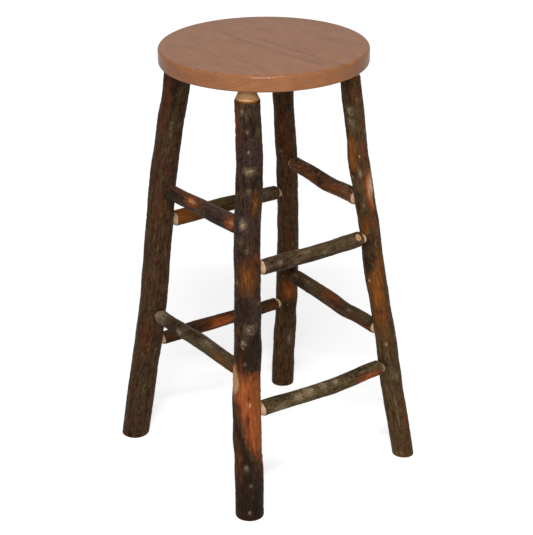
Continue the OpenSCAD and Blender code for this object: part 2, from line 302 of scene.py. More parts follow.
for name, values in LAMPS.items():
    hang_lamp(name, *values)
bpy.context.scene.view_settings.view_transform = "Standard"
print("lamps:", ", ".join(LAMPS))

# %% [markdown]
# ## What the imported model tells
#
# The dressed poles must lie exactly where the plain ones do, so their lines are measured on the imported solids
# and not typed in again. A pole's tenon ends in a flat disc, and the mean of that disc's corners is a point
# of its axis. The foot of a leg is a flat face too, so a foot and a tenon end give a leg's whole line.

# %% Measure the poles
LEGS = ["back_left_leg", "front_left_leg", "front_right_leg", "back_right_leg"]
RUNGS = [f"{side}_{level}_rung" for level in ("upper", "lower")
         for side in ("left", "back", "front", "right")]
SEAT_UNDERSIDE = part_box("seat_middle_board")[0].z
END_DEPTH, FLOOR_LEVEL = 1 * MM, 0.01 * MM


def corners(name):
    """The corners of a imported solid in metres, each place once, rounded to a thousandth of a millimetre."""
    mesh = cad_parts[name].data
    points = np.empty(len(mesh.vertices) * 3, np.float32)
    mesh.vertices.foreach_get("co", points)
    return np.unique(np.round(points.reshape(-1, 3).astype(float), 6), axis=0)


def end_centres(name):
    """The middles of a pole's two flat ends: the mean of the corners that lie furthest along its length."""
    points = corners(name)
    way = np.linalg.svd(points - points.mean(0), full_matrices=False)[2][0]
    reach = points @ way
    return points[reach < reach.min() + END_DEPTH].mean(0), points[reach > reach.max() - END_DEPTH].mean(0)


def leg_line(name):
    """The middle of a leg's foot, the point where its axis meets the underside of the seat, and its tenon's
    end."""
    points = corners(name)
    foot = points[points[:, 2] < FLOOR_LEVEL].mean(0)
    tip = max(end_centres(name), key=lambda end: end[2])
    return foot, foot + (tip - foot) * SEAT_UNDERSIDE / tip[2], tip


leg_lines = [leg_line(name) for name in LEGS]
for name, (foot, top, _) in zip(LEGS, leg_lines):
    print(name, "foot", np.round(foot[:2] / MM, 1), "top", np.round(top[:2] / MM, 1), "mm")

# %% [markdown]
# ## How a pole grows
#
# A pole is a line with a crook, a thickness that changes along it, and a section that is never quite round.
# The crook is given at a few stations along the pole, and a smooth curve goes through them. The dressed
# poles use the same stations as the solids, and are then compared with them.

# %% Crook and section
OUT_OF_ROUND, THREE_SHARE = 0.014, 0.6


def through(stations, share):
    """Rows of [share, values...] read at any share: between two rows runs the cubic that leaves each row at
    the slope of the line through its two neighbours."""
    rows = np.array(stations, float)
    place, values = rows[:, 0], rows[:, 1:]
    before = np.maximum(np.arange(len(rows)) - 1, 0)
    after = np.minimum(np.arange(len(rows)) + 1, len(rows) - 1)
    slope = (values[after] - values[before]) / (place[after] - place[before])[:, None]
    k = np.clip(np.searchsorted(place, share, side="right") - 1, 0, len(rows) - 2)
    span = (place[k + 1] - place[k])[..., None]
    u = (share - place[k])[..., None] / span
    return (
        (2 * u**3 - 3 * u**2 + 1) * values[k]
        + (u**3 - 2 * u**2 + u) * span * slope[k]
        + (3 * u**2 - 2 * u**3) * values[k + 1]
        + (u**3 - u**2) * span * slope[k + 1]
    )


def grown(angle, share, seed):
    """A section's radius as a share of the round one: a slow twist of two lobes and of three lobes. Their
    phases shift by 120 and 260 degrees along a pole, and by 70 and -50 degrees from one pole to the next."""
    two = np.cos(2 * angle + np.radians(70 * seed + 120 * share))
    three = np.cos(3 * angle + np.radians(-50 * seed + 260 * share))
    return 1 + OUT_OF_ROUND * two + THREE_SHARE * OUT_OF_ROUND * three


def ripples(seed, angle, along, count, turns, pitch):
    """Uneven bark: the sum of seeded waves cos(k angle + 2 pi along / p), where k is whole, so that each wave
    closes round the pole, and p lies between 0.6 and 1.8 of the pitch. The sum is divided by the root of half
    the number of waves, so that it has a mean of about 0 and a spread of about 1."""
    rng = np.random.default_rng(seed)
    total = np.zeros(np.broadcast(angle, along).shape)
    for _ in range(count):
        lobes = rng.integers(-turns, turns + 1)
        length = pitch * rng.uniform(0.6, 1.8)
        total += np.cos(lobes * angle + 2 * np.pi * along / length + rng.uniform(0, 2 * np.pi))
    return total * np.sqrt(2 / count)


print("a section swells by up to", round((1 + THREE_SHARE) * OUT_OF_ROUND * 100, 1), "percent")

# %% [markdown]
# ## Marks on the bark
#
# What makes a pole look real is where its marks are: a peeled patch, a smear of lichen, a stain. Each is
# given by the range of its length and the range of its compass angle, and becomes a field over the pole: 1 in
# the mark's middle, 1/2 on its outline and 0 from twice its size on. A fifth number, where there is one,
# makes the mark fainter. The few large patches have a drawn outline instead, as rows of a height and the two
# angles between which the patch lies. The mesh stores the fields as attributes, and the shader later tears
# their outlines with noise, so that they are ragged at every scale. Marks on the far side are scattered by a
# seeded draw.
# A few pale and grey-violet marks are painted highlights, not lichen or purple bark: a glint and a strip of
# sheen on two legs, and a grey-violet sheen on one rung.

# %% Fields from marks
MARK_KINDS = ["rust", "moss", "violet_and_sheen", "ochre", "peel", "amber", "bare", "fresh", "stain", "lichen_and_sheen"]
EXTRA_FIELDS = ["knot", "sawn"]
# Powers of the outlines: rounded corners for a mark, nearly full ones for a large patch
MARK_POWER, PATCH_POWER = 2.5, 6
# The compass angle straight away from the camera, and how far to both sides of it marks are scattered
BEHIND, BEHIND_REACH = 55, 75
# Half the length of a scattered mark in mm, before a seeded factor
HIDDEN_SIZE, HIDDEN_SIZES = 45, {"lichen_and_sheen": 8, "peel": 40, "ochre": 30}
# A trimmed twig, in radii of its face: how far the stub and its collar fall off, where the collar is highest
# and where both end. Then the collar's height as a share of the stub's, and a limit that keeps the flat face
# finite
TWIG_FALL, COLLAR_AT, TWIG_END = 0.55, 1.9, 4
COLLAR_SHARE, LEAST_COSINE = 0.5, 0.3


def turned(angle, middle):
    """The angle from a middle direction, from -180 to 180 degrees."""
    return (np.degrees(angle) - middle + 180) % 360 - 180


def inside(angle, along, low, high, left, right, power):
    """1 - d / 2, where d is 1 on an outline: d^p = |u|^p + |v|^p with u along and v round. The power p is 2
    for an ellipse, and a large one fills the corners."""
    u = (along / MM - (low + high) / 2) / ((high - low) / 2)
    v = turned(angle, (left + right) / 2) / ((right - left) / 2)
    return np.clip(1 - (np.abs(u) ** power + np.abs(v) ** power) ** (1 / power) / 2, 0, 1)


def field(angle, along, marks, patches):
    """The strongest of all marks and patches at each point."""
    deepest = np.zeros(np.broadcast(angle, along).shape)
    for low, high, left, right, *strength in marks:
        share = inside(angle, along, low, high, left, right, MARK_POWER)
        deepest = np.maximum(deepest, share * (strength[0] if strength else 1))
    for strength, rows in patches:
        height, left, right = np.array(rows, float).T
        sides = [np.interp(along / MM, height, side) for side in (left, right)]
        share = inside(angle, along, height[0], height[-1], *sides, PATCH_POWER)
        deepest = np.maximum(deepest, strength * share)
    return deepest


def scattered(seed, length, counts):
    """Seeded marks on the half of a pole that faces away from the camera, so many of each kind."""
    rng = np.random.default_rng(seed)
    marks = {}
    for kind, count in counts.items():
        size = HIDDEN_SIZES.get(kind, HIDDEN_SIZE)
        drawn = []
        for _ in range(count):
            middle, half = rng.uniform(0.05, 0.95) * length, size * rng.uniform(0.5, 1.3)
            facing, wide = BEHIND + rng.uniform(-BEHIND_REACH, BEHIND_REACH), rng.uniform(8, 26)
            drawn.append((middle - half, middle + half, facing - wide, facing + wide))
        marks[kind] = drawn
    return marks


def knots(angle, along, radius, twigs, proud):
    """Trimmed twigs. Each is a stub with a flat sawn face, in a low collar of bark: the height is the stub's
    inside its face, then falls off over a few millimetres. Also gives how near a point is to a fresh face's
    middle."""
    height = np.zeros(np.broadcast(angle, along).shape)
    face = np.zeros_like(height)
    for middle, facing, across, fresh in twigs:
        around = np.radians(turned(angle, facing))
        distance = np.hypot(along - middle, radius * around) / (across / 2)
        flat = (radius + proud) / np.maximum(np.cos(around), LEAST_COSINE) - radius
        share = 1 - np.clip((distance - 1) / TWIG_FALL, 0, 1)
        stub = flat * share**2 * (3 - 2 * share)
        collar = COLLAR_SHARE * proud * np.exp(-(((distance - COLLAR_AT) / TWIG_FALL) ** 2))
        height = np.maximum(height, np.where(distance < TWIG_END, stub + collar * (1 - share), 0))
        face = np.maximum(face, fresh * np.clip(1 - distance, 0, 1))
    return height, face


print("kinds of mark:", ", ".join(MARK_KINDS))

# %% [markdown]
# ## Skins
#
# A pole's surface is a grid: rings of points one above another, each closed on itself. The same few lines
# turn any such grid into a closed mesh: four-sided faces between neighbouring rings, and a fan to a middle
# point at each end. All faces are listed at once from index arrays, and foreach_set hands them to Blender.

# %% Mesh from rings
def closed_skin(name, rings, attributes):
    """A closed mesh over rings of shape (rows, around, 3). Each attribute is an array over the same grid, and
    the two end points take the mean of the first and of the last ring."""
    rows, around, _ = rings.shape
    step = np.arange(around)
    low = np.arange(rows - 1)[:, None] * around + step
    low_next = np.arange(rows - 1)[:, None] * around + (step + 1) % around
    walls = np.stack([low, low_next, low_next + around, low + around], -1).reshape(-1, 4)
    first, last = rows * around, rows * around + 1
    floor_fan = np.stack([np.full(around, first), (step + 1) % around, step], -1)
    top = (rows - 1) * around
    roof_fan = np.stack([np.full(around, last), top + step, top + (step + 1) % around], -1)
    corner = np.concatenate([walls.ravel(), floor_fan.ravel(), roof_fan.ravel()])
    sizes = np.concatenate([np.full(len(walls), 4), np.full(2 * around, 3)])
    mesh = bpy.data.meshes.new(name)
    mesh.vertices.add(last + 1)
    mesh.vertices.foreach_set("co", with_ends(rings).astype(np.float32).ravel())
    mesh.loops.add(len(corner))
    mesh.loops.foreach_set("vertex_index", corner.astype(np.int32))
    mesh.polygons.add(len(sizes))
    mesh.polygons.foreach_set("loop_start", (np.cumsum(sizes) - sizes).astype(np.int32))
    mesh.polygons.foreach_set("use_smooth", np.ones(len(sizes), bool))
    for title, values in attributes.items():
        store(mesh, title, with_ends(values))
    mesh.update(calc_edges=True)
    mesh.validate()
    made = bpy.data.objects.new(name, mesh)
    bpy.context.scene.collection.objects.link(made)
    return made


def with_ends(grid):
    """A grid's values in the order of the mesh's points: every ring, then the two end points."""
    flat = grid.reshape(grid.shape[0] * grid.shape[1], -1)
    return np.concatenate([flat, grid[:1].reshape(grid.shape[1], -1).mean(0, keepdims=True),
                           grid[-1:].reshape(grid.shape[1], -1).mean(0, keepdims=True)])


def store(mesh, title, values):
    """Keep one number, or one vector, for each point of the mesh."""
    single = values.shape[-1] == 1
    layer = mesh.attributes.new(title, "FLOAT" if single else "FLOAT_VECTOR", "POINT")
    layer.data.foreach_set("value" if single else "vector", values.astype(np.float32).ravel())


print("skin builder ready")

# %% [markdown]
# ## Drilling
#
# Every rung stands in a round mortise, and a steel pin crosses each tenon. On the real stool both are
# drilled, so here they are drilled as well: round bars, plain for a mortise and stepped for a pin, are taken
# away from the poles with a Boolean. The bars carry the bare-wood mark, so the walls of the holes come out as
# bare wood.

# %% Drills
DRILL_SIDES = 40
SHARP_ANGLE = np.radians(50)


def bar(start, way, steps):
    """Rings of a turned bar, one for each (s, r) of its steps: start + s way + r (cos a side + sin a other),
    with side and other across the way."""
    way = way / np.linalg.norm(way)
    side = np.cross(way, [0.0, 0.0, 1.0])
    side = side / np.linalg.norm(side)
    angle = np.linspace(0, 2 * np.pi, DRILL_SIDES, endpoint=False)[None, :, None]
    reach, radius = np.array(steps).T[..., None, None]
    return start + reach * way + radius * (np.cos(angle) * side + np.sin(angle) * np.cross(way, side))


def drill(piece, bars):
    """Take every bar away from the piece, and keep the result as the piece's own mesh."""
    for rings in bars:
        ones = np.ones(rings.shape[:2] + (1,))
        plain = {kind: 0 * ones for kind in MARK_KINDS + EXTRA_FIELDS}
        cutter = closed_skin("drill", rings, {**plain, "bare": ones, "pole": rings})
        cut = piece.modifiers.new("drilled", "BOOLEAN")
        cut.operation = "DIFFERENCE"
        cut.solver = "MANIFOLD"
        cut.object = cutter
        ready = piece.evaluated_get(bpy.context.evaluated_depsgraph_get())
        drilled = bpy.data.meshes.new_from_object(ready)
        piece.modifiers.clear()
        old, piece.data = piece.data, drilled
        bpy.data.meshes.remove(old)
        bpy.data.objects.remove(cutter)
    piece.data.set_sharp_from_angle(angle=SHARP_ANGLE)
    piece.data.name = piece.name


print("drill has", DRILL_SIDES, "sides")

# %% [markdown]
# ## The four legs
#
# A leg goes from its sawn foot up to its bark's edge, where a tenon cutter has shaved it to a pencil point of
# bare wood, and on into the seat as a round tenon. The skin follows the same path: foot face, rounded rim,
# bark, cone, tenon. The cone is a cutter's work, so it simply takes the smaller of the bark's radius and its
# own. That leaves the bark's edge as uneven as the bark is.

# %% Leg sizes and marks
FOOT_D, TOP_D = 45 * MM, 41 * MM
POINT_LENGTH, POINT_SINK = 22 * MM, 2 * MM
FOOT_BEVEL = 2.5 * MM
LEG_TENON_D = 28 * MM
TWIG_PROUD = 1.6 * MM
BARK_EDGE = SEAT_UNDERSIDE - POINT_LENGTH

# Added thickness at the foot and at the top
LEG_GIRTH = [(5.5, 5), (3.5, 2), (-6, -5), (-1.5, -3.5)]
# Rows of share of the height, to the right, to the back, added thickness
LEG_CROOK = [
    [[0, 0, 0, 0], [0.15, 2, 0, 0.5], [0.35, 4, -2, 0.5], [0.5, 2, 1, 0], [0.6, -1, 1, 0],
     [0.7, -3, 2, -0.5], [0.82, -1, 2, -0.5], [0.92, 1, 0, 0], [1, 0, 0, 0]],
    [[0, 0, 0, 0], [0.11, -1, 0, 0.5], [0.24, -4, 1, 1.5], [0.33, -3, 2, 1], [0.42, -1, 2, -0.5],
     [0.55, -2, 0, -1.5], [0.66, -3, -1, -0.5], [0.78, 1, -2, 0.5], [0.85, 3, -1, 0.5],
     [0.93, 1, 0, -0.5], [1, 0, 0, 0]],
    [[0, 0, 0, 0], [0.1, -1, 1, 0.5], [0.19, -3, 1, 1], [0.3, -2, 1, 0], [0.38, -2, 2, -1.5],
     [0.48, -5, 2, 0], [0.6, -4, 1, -1], [0.76, -5, 3, 0.5], [0.82, -4, 2, -1.5],
     [0.9, -2, 1, -0.5], [1, 0, 0, 0]],
    [[0, 0, 0, 0], [0.08, 2, 0, 0.5], [0.16, 4, -2, 0.5], [0.22, 6, -3, -1.5], [0.28, 7, -4, 0.5],
     [0.46, 9, -5, 0], [0.56, 8, -5, -0.5], [0.64, 7, -4, 0], [0.7, 6, -3, 0.5],
     [0.78, 3, -1, -1], [0.86, 1, 0, 0], [1, 0, 0, 0]],
]
# Trimmed twigs: share of the height, compass angle, width, and 1 where the face is still fresh
LEG_TWIGS = [
    [(0.3, 20, 11, 1), (0.84, 100, 9, 1)],
    [(0.427, 217, 11, 0), (0.707, 212, 10, 0), (0.2, 80, 9, 1)],
    [(0.48, 203, 7, 0), (0.62, 20, 9, 1)],
    [(0.36, 70, 10, 1)],
]
# Marks: lowest and highest point in mm above the floor, then first and last compass angle
LEG_MARKS = [
    {
        "rust": [(645, 740, 186, 214), (612, 650, 176, 212, 0.65), (440, 490, 214, 240, 0.7),
                 (192, 250, 196, 232, 0.75)],
        "moss": [(580, 640, 228, 254), (660, 705, 236, 290, 0.8), (60, 140, 230, 262, 0.8)],
        "lichen_and_sheen": [(430, 450, 294, 312, 0.7)],
        "stain": [(640, 700, 224, 244, 0.8)],
    },
    {
        "rust": [(640, 712, 150, 192, 0.95), (449, 474, 235, 310, 0.9), (400, 456, 186, 290, 0.75),
                 (328, 339, 172, 199, 0.8), (270, 280, 178, 204, 0.8)],
        "moss": [(650, 700, 262, 300, 0.8), (470, 500, 185, 225, 0.7), (246, 264, 262, 330, 0.9)],
        "violet_and_sheen": [(612, 656, 182, 270), (552, 567, 216, 247, 0.85), (494, 540, 172, 256),
                   (382, 397, 242, 265), (336, 403, 200, 292, 0.8), (134, 150, 192, 212)],
        "ochre": [(404, 452, 196, 270, 0.86), (534, 570, 246, 290, 0.78), (684, 718, 170, 193, 0.7)],
        "peel": [(646, 700, 136, 168, 0.85)],
        "amber": [(100, 258, 290, 360, 0.9), (112, 160, 262, 300, 0.7), (190, 262, 262, 345, 0.75)],
        "bare": [(205, 213, 244, 253, 0.9), (305, 311, 210, 225, 0.9)],
        "fresh": [(512, 521, 207, 221, 0.8)],
        "stain": [(266, 320, 176, 330), (216, 232, 236, 247, 0.68), (164, 196, 236, 246, 0.68),
                  (-30, 90, 160, 330), (352, 392, 180, 240, 0.8), (575, 594, 190, 290, 0.8),
                  (455, 480, 170, 240, 0.7), (655, 690, 225, 290, 0.7)],
        # Of the pale lichen marks below, (634, 639, 227, 237) is a painted glint: a small bright highlight
        # drawn as colour.
        "lichen_and_sheen": [(695, 707, 198, 220, 0.75), (664, 674, 222, 244, 0.66), (634, 639, 227, 237),
                   (599, 611, 208, 260, 0.88), (567, 579, 226, 250, 0.6), (508, 528, 198, 232, 0.85),
                   (483, 496, 190, 218, 0.6), (469, 482, 226, 248, 0.66), (412, 425, 175, 194, 0.75),
                   (377, 387, 280, 300, 0.6), (329, 351, 216, 280, 0.68), (311, 324, 205, 232, 0.78),
                   (277, 284, 215, 240, 0.65), (91, 102, 216, 236, 0.9),
                   (61, 69, 236, 249, 0.85), (12, 20, 228, 243, 0.85)],
    },
    {
        "rust": [(680, 708, 215, 300, 0.7), (568, 608, 234, 290, 0.85), (446, 476, 212, 285, 0.9),
                 (366, 410, 240, 282, 0.8)],
        "moss": [(614, 650, 186, 250, 0.9), (480, 516, 180, 226), (144, 193, 220, 287)],
        "ochre": [(430, 468, 176, 228, 0.9), (40, 150, 262, 300, 0.7)],
        "peel": [(712, 724, 250, 320, 0.7)],
        "bare": [(578, 583, 236, 244), (348, 354, 193, 205)],
        "stain": [(404, 440, 178, 250, 0.75), (480, 514, 176, 206, 0.8), (540, 556, 176, 204, 0.9),
                  (286, 300, 196, 240, 0.6)],
        # Of the pale lichen marks below, (40, 158, 234, 248, 0.6) is a painted sheen: a faint pale strip of
        # highlight low on the pole.
        "lichen_and_sheen": [(651, 669, 186, 232, 0.85), (634, 648, 188, 236, 0.75), (542, 556, 223, 243, 0.85),
                   (537, 545, 176, 196, 0.8), (489, 495, 217, 231, 0.95), (226, 233, 224, 242),
                   (156, 173, 254, 286, 0.72), (40, 158, 234, 248, 0.6)],
    },
    {
        "rust": [(546, 592, 192, 220), (528, 594, 182, 262, 0.85), (280, 350, 220, 252, 0.75),
                 (500, 530, 236, 262, 0.75)],
        "moss": [(88, 134, 236, 285)],
        "ochre": [(192, 250, 204, 296)],
        "stain": [(246, 290, 180, 290, 0.9), (164, 196, 200, 280, 0.8), (670, 730, 170, 300, 0.85)],
        "lichen_and_sheen": [(514, 522, 188, 218, 0.75), (100, 122, 246, 268, 0.75)],
    },
]
# Large patches: strength, and rows of a height in mm with the compass angles of the two edges there
LEG_PATCHES = [
    {},
    {
        "rust": [(1, [(58, 176, 194), (80, 170, 204), (112, 170, 210), (148, 178, 206)])],
        "moss": [(0.9, [(102, 250, 288), (130, 224, 246), (155, 212, 232), (178, 202, 216)])],
        "peel": [(1, [(97, 292, 350), (119, 262, 350), (144, 237, 350), (166, 222, 350), (187, 209, 350),
                      (206, 188, 350), (213, 150, 350), (264, 150, 350), (267, 150, 240), (277, 150, 216)])],
        "bare": [(1, [(221, 130, 172), (233, 130, 193), (245, 130, 201), (257, 130, 197), (273, 130, 182)])],
        "stain": [(1, [(88, 208, 268), (119, 208, 246), (142, 204, 220), (166, 172, 200), (206, 150, 166)])],
    },
    {
        "ochre": [(1, [(548, 180, 200), (558, 171, 216), (581, 167, 223), (596, 164, 224), (608, 168, 219),
                       (622, 198, 205)]),
                  (1, [(258, 196, 258), (276, 180, 272), (313, 187, 267), (349, 190, 276), (362, 192, 282),
                       (374, 228, 292), (386, 248, 297), (414, 272, 305)])],
        "peel": [(0.82, [(478, 260, 268), (484, 250, 288), (491, 244, 300), (514, 241, 300), (530, 250, 303),
                         (543, 254, 305), (562, 275, 292)])],
        "amber": [(0.72, [(264, 200, 250), (300, 188, 258), (337, 189, 266), (356, 194, 270), (372, 228, 280),
                          (388, 250, 290)]),
                  (0.72, [(552, 182, 208), (581, 172, 214), (600, 172, 214), (618, 192, 208)])],
        "fresh": [(0.7, [(500, 264, 286), (512, 257, 300), (531, 266, 312), (549, 282, 316)])],
        "stain": [(0.8, [(358, 166, 182), (366, 166, 212), (376, 164, 228), (396, 160, 246),
                         (412, 158, 252)])],
    },
    {
        "peel": [(0.72, [(197, 232, 272), (210, 214, 290), (222, 206, 292), (243, 218, 278)])],
    },
]
HIDDEN_LEG_MARKS = {"peel": 3, "ochre": 4, "lichen_and_sheen": 9, "rust": 4, "moss": 3, "violet_and_sheen": 3}
print("marks by hand:", sum(len(group) for marks in LEG_MARKS for group in marks.values()))


# %% Leg line and thickness
def leg_middle(k, height):
    """The middle of leg k at each height: its straight line from foot to seat, moved by the crook."""
    foot, top, _ = leg_lines[k]
    share = (height / SEAT_UNDERSIDE)[..., None]
    crook = through(LEG_CROOK[k], height / SEAT_UNDERSIDE)[..., :2] * MM
    return foot + (top - foot) * share + np.concatenate([crook, 0 * share], -1)


def leg_width(k, height):
    """The mean thickness between foot and top, with the leg's own girth, and what the crook table adds."""
    share = height / SEAT_UNDERSIDE
    foot_d, top_d = FOOT_D + LEG_GIRTH[k][0] * MM, TOP_D + LEG_GIRTH[k][1] * MM
    return foot_d + (top_d - foot_d) * share + through(LEG_CROOK[k], share)[..., 2] * MM


def leg_radius(k, height, angle):
    """Half the thickness, times the section's shape."""
    return leg_width(k, height) / 2 * grown(angle, height / SEAT_UNDERSIDE, k)


for k, name in enumerate(LEGS):
    points = corners(name)
    points = points[(points[:, 2] > FOOT_BEVEL) & (points[:, 2] < BARK_EDGE)]
    across = points[:, :2] - leg_middle(k, points[:, 2])[:, :2]
    off = np.hypot(*across.T) - leg_radius(k, points[:, 2], np.arctan2(across[:, 1], across[:, 0]))
    print(name, "lies", round(np.median(np.abs(off)) / MM, 3), "mm off its packed corners, by the median")

# %% [markdown]
# ## Relief of the bark
#
# Bark isn't a flat picture on a smooth stick. It swells slowly, has ripples across and long fissures, drops
# by most of a millimetre where it's peeled off, and stands proud round a trimmed twig. All of that is added
# to the radius, as whole arrays. Near the foot whatever stands proud fades out, so that the foot keeps its
# width. At the top nothing fades, since the tenon cutter goes through whatever is there.

# %% Relief
# Swellings, ripples and fissures: height in mm, number of waves, most turns round the pole, pitch in mm
BARK_WAVES = [(0.30, 10, 3, 80), (0.10, 24, 12, 12), (0.12, 24, 34, 60)]
PEEL_DEPTH = 0.7 * MM
PEEL_KINDS = ("peel", "bare", "fresh")
# How far ripples shift a worn patch's outline in its field, and between which values of it the step lies
PEEL_TEAR, PEEL_STEP = 0.05, (0.46, 0.54)


def eased(value, low, high):
    """0 below low, 1 above high, and 3 s^2 - 2 s^3 between, where s is the share of the way."""
    share = np.clip((value - low) / (high - low), 0, 1)
    return share**2 * (3 - 2 * share)


def bark_height(seed, angle, along):
    """How far bark stands off the plain outline: slow swellings, ripples and long fissures, each a sum of
    waves."""
    return sum(height * MM * ripples(seed + k, angle, along, count, turns, pitch * MM)
               for k, (height, count, turns, pitch) in enumerate(BARK_WAVES))


def worn(fields, angle, along, seed):
    """Depth lost where the bark is off: a step at the patch's outline, which ripples tear."""
    gone = np.max([fields[kind] for kind in PEEL_KINDS], axis=0)
    torn = gone + PEEL_TEAR * ripples(seed, angle, along, 16, 14, 18 * MM)
    return PEEL_DEPTH * eased(torn, *PEEL_STEP)


def pole_fields(angle, along, marks, hidden, patches):
    """Every kind of mark as an array: the listed marks, the scattered ones and the outlined patches."""
    return {kind: field(angle, along, marks.get(kind, []) + hidden.get(kind, []), patches.get(kind, []))
            for kind in MARK_KINDS}


def pole_place(radius, angle, along, apart):
    """Where a point lies in its pole: r cos a, r sin a and the length along it, with a metre between
    poles."""
    length = np.broadcast_to(along + apart, radius.shape)
    return np.stack([radius * np.cos(angle), radius * np.sin(angle), length], -1)


print("bark comes off", round(PEEL_DEPTH / MM, 1), "mm deep")

# %% Leg skin
LEG_AROUND, LEG_ROWS, CONE_ROWS, RIM_ROWS = 144, 460, 30, 6
FACE_RINGS = np.array([0.35, 0.7, 0.93])
LEG_SEED = 100
CUTTER_REACH = 3 * MM
RELIEF_FADE = (5 * MM, 60 * MM)
SKIN_SINK = 0.01 * MM
# The bark's depth, and between which shares of it the cutter bares the inner bark and then the wood
BARK_DEPTH = 1.8 * MM
INNER_BARK, BARE_WOOD = (0.1, 0.5), (0.6, 1.2)


def leg_heights():
    """The foot's face, its rim, the bark and the cone, from the floor upwards."""
    rim = FOOT_BEVEL * (1 - np.cos(np.linspace(0, np.pi / 2, RIM_ROWS)))[:-1]
    body = np.linspace(FOOT_BEVEL, BARK_EDGE - CUTTER_REACH, LEG_ROWS)
    cone = np.linspace(BARK_EDGE - CUTTER_REACH, SEAT_UNDERSIDE - POINT_SINK, CONE_ROWS + 1)[1:]
    return np.concatenate([0 * FACE_RINGS, rim, body, cone])[:, None]


def leg_skin_radius(k, height, angle, fields):
    """The bark with its relief, twigs and rounded rim, or the cutter's cone where that is smaller. It lies a
    hundredth of a millimetre deep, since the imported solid's facets cut its corners by as much. Also gives the
    plain radius and the twig faces."""
    seed = LEG_SEED * (k + 1)
    plain = leg_radius(k, np.minimum(height, BARK_EDGE), angle)
    lift = bark_height(seed, angle, height) - worn(fields, angle, height, seed + 5)
    lift = np.where(lift > 0, lift * eased(height, *RELIEF_FADE), lift) - SKIN_SINK
    twigs = [(share * SEAT_UNDERSIDE, facing, across * MM, fresh)
             for share, facing, across, fresh in LEG_TWIGS[k]]
    stubs, face = knots(angle, height, plain, twigs, TWIG_PROUD)
    below = np.clip(1 - height / FOOT_BEVEL, 0, 1)
    rounded = FOOT_BEVEL * (1 - np.sqrt(1 - below**2))
    bark = plain + np.where(stubs > 0, np.maximum(lift, stubs), lift) - rounded
    bark[: len(FACE_RINGS)] *= FACE_RINGS[:, None]
    slope = np.minimum((height - BARK_EDGE) / (POINT_LENGTH - POINT_SINK), 1)
    shaved = plain + (LEG_TENON_D / 2 - POINT_SINK - plain) * slope
    return np.minimum(bark, shaved), plain, face


def slanted_rings(start, axis, reach, radius, angle):
    """Rings across a slanted axis, whose first point still faces +X, so that they join level rings
    untwisted."""
    across = np.array([1.0, 0, 0]) - axis * axis[0]
    across /= np.linalg.norm(across)
    turn = np.cos(angle)[:, None] * across + np.sin(angle)[:, None] * np.cross(axis, across)
    return start + reach[:, None, None] * axis + radius * turn


def make_leg(k):
    """Level rings from the foot to the cone, then two slanted rings of the tenon."""
    _, top, tip = leg_lines[k]
    angle = np.linspace(0, 2 * np.pi, LEG_AROUND, endpoint=False)[None, :]
    height = leg_heights()
    hidden = scattered(LEG_SEED * (k + 1), SEAT_UNDERSIDE / MM, HIDDEN_LEG_MARKS)
    fields = pole_fields(angle, height, LEG_MARKS[k], hidden, LEG_PATCHES[k])
    radius, plain, face = leg_skin_radius(k, height, angle, fields)
    middle = leg_middle(k, np.minimum(height[:, 0], BARK_EDGE))
    to_seat = np.clip((height - BARK_EDGE) / POINT_LENGTH, 0, 1)
    middle = middle + (top - leg_middle(k, np.array([BARK_EDGE]))[0]) * to_seat
    middle[:, 2] = height[:, 0]
    rings = middle[:, None] + radius[..., None] * np.stack([np.cos(angle), np.sin(angle), 0 * angle], -1)
    cut = np.where(height > BARK_EDGE - CUTTER_REACH, (plain - radius) / BARK_DEPTH, 0)
    fields["ochre"] = np.maximum(fields["ochre"], eased(cut, *INNER_BARK))
    fields["bare"] = np.maximum(fields["bare"], eased(cut, *BARE_WOOD))
    sawn = (height < FOOT_BEVEL / 2) * np.ones_like(radius)
    grids = {**fields, "knot": face, "sawn": sawn, "pole": pole_place(radius, angle, height, k)}
    keep = (radius.mean(1) > LEG_TENON_D / 2) | (height[:, 0] < BARK_EDGE)
    axis = (tip - top) / np.linalg.norm(tip - top)
    reach = np.array([-POINT_SINK, np.linalg.norm(tip - top)])
    tenon = slanted_rings(top, axis, reach, LEG_TENON_D / 2, angle[0])
    grids = {title: np.concatenate([grid[keep], grid[keep][-1:], grid[keep][-1:]])
             for title, grid in grids.items()}
    return closed_skin(LEGS[k] + "_skin", np.concatenate([rings[keep], tenon]), grids)


legs = [make_leg(k) for k in range(len(LEGS))]
for leg in legs:
    print(leg.name, "has", len(leg.data.polygons), "faces")

# %% [markdown]
# ## The eight rungs
#
# A rung is a thinner pole on its side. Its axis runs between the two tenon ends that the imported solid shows,
# and its own directions are up and out. At each end the bark gives way to a short bevel and a round tenon,
# and the radius is simply the larger of the two.

# %% Rung sizes and marks
RUNG_D, RUNG_TENON_D = 27 * MM, 18 * MM
RUNG_POINT, SHOULDER_GAP, TENON_PAST = 9 * MM, 0.6 * MM, 4 * MM

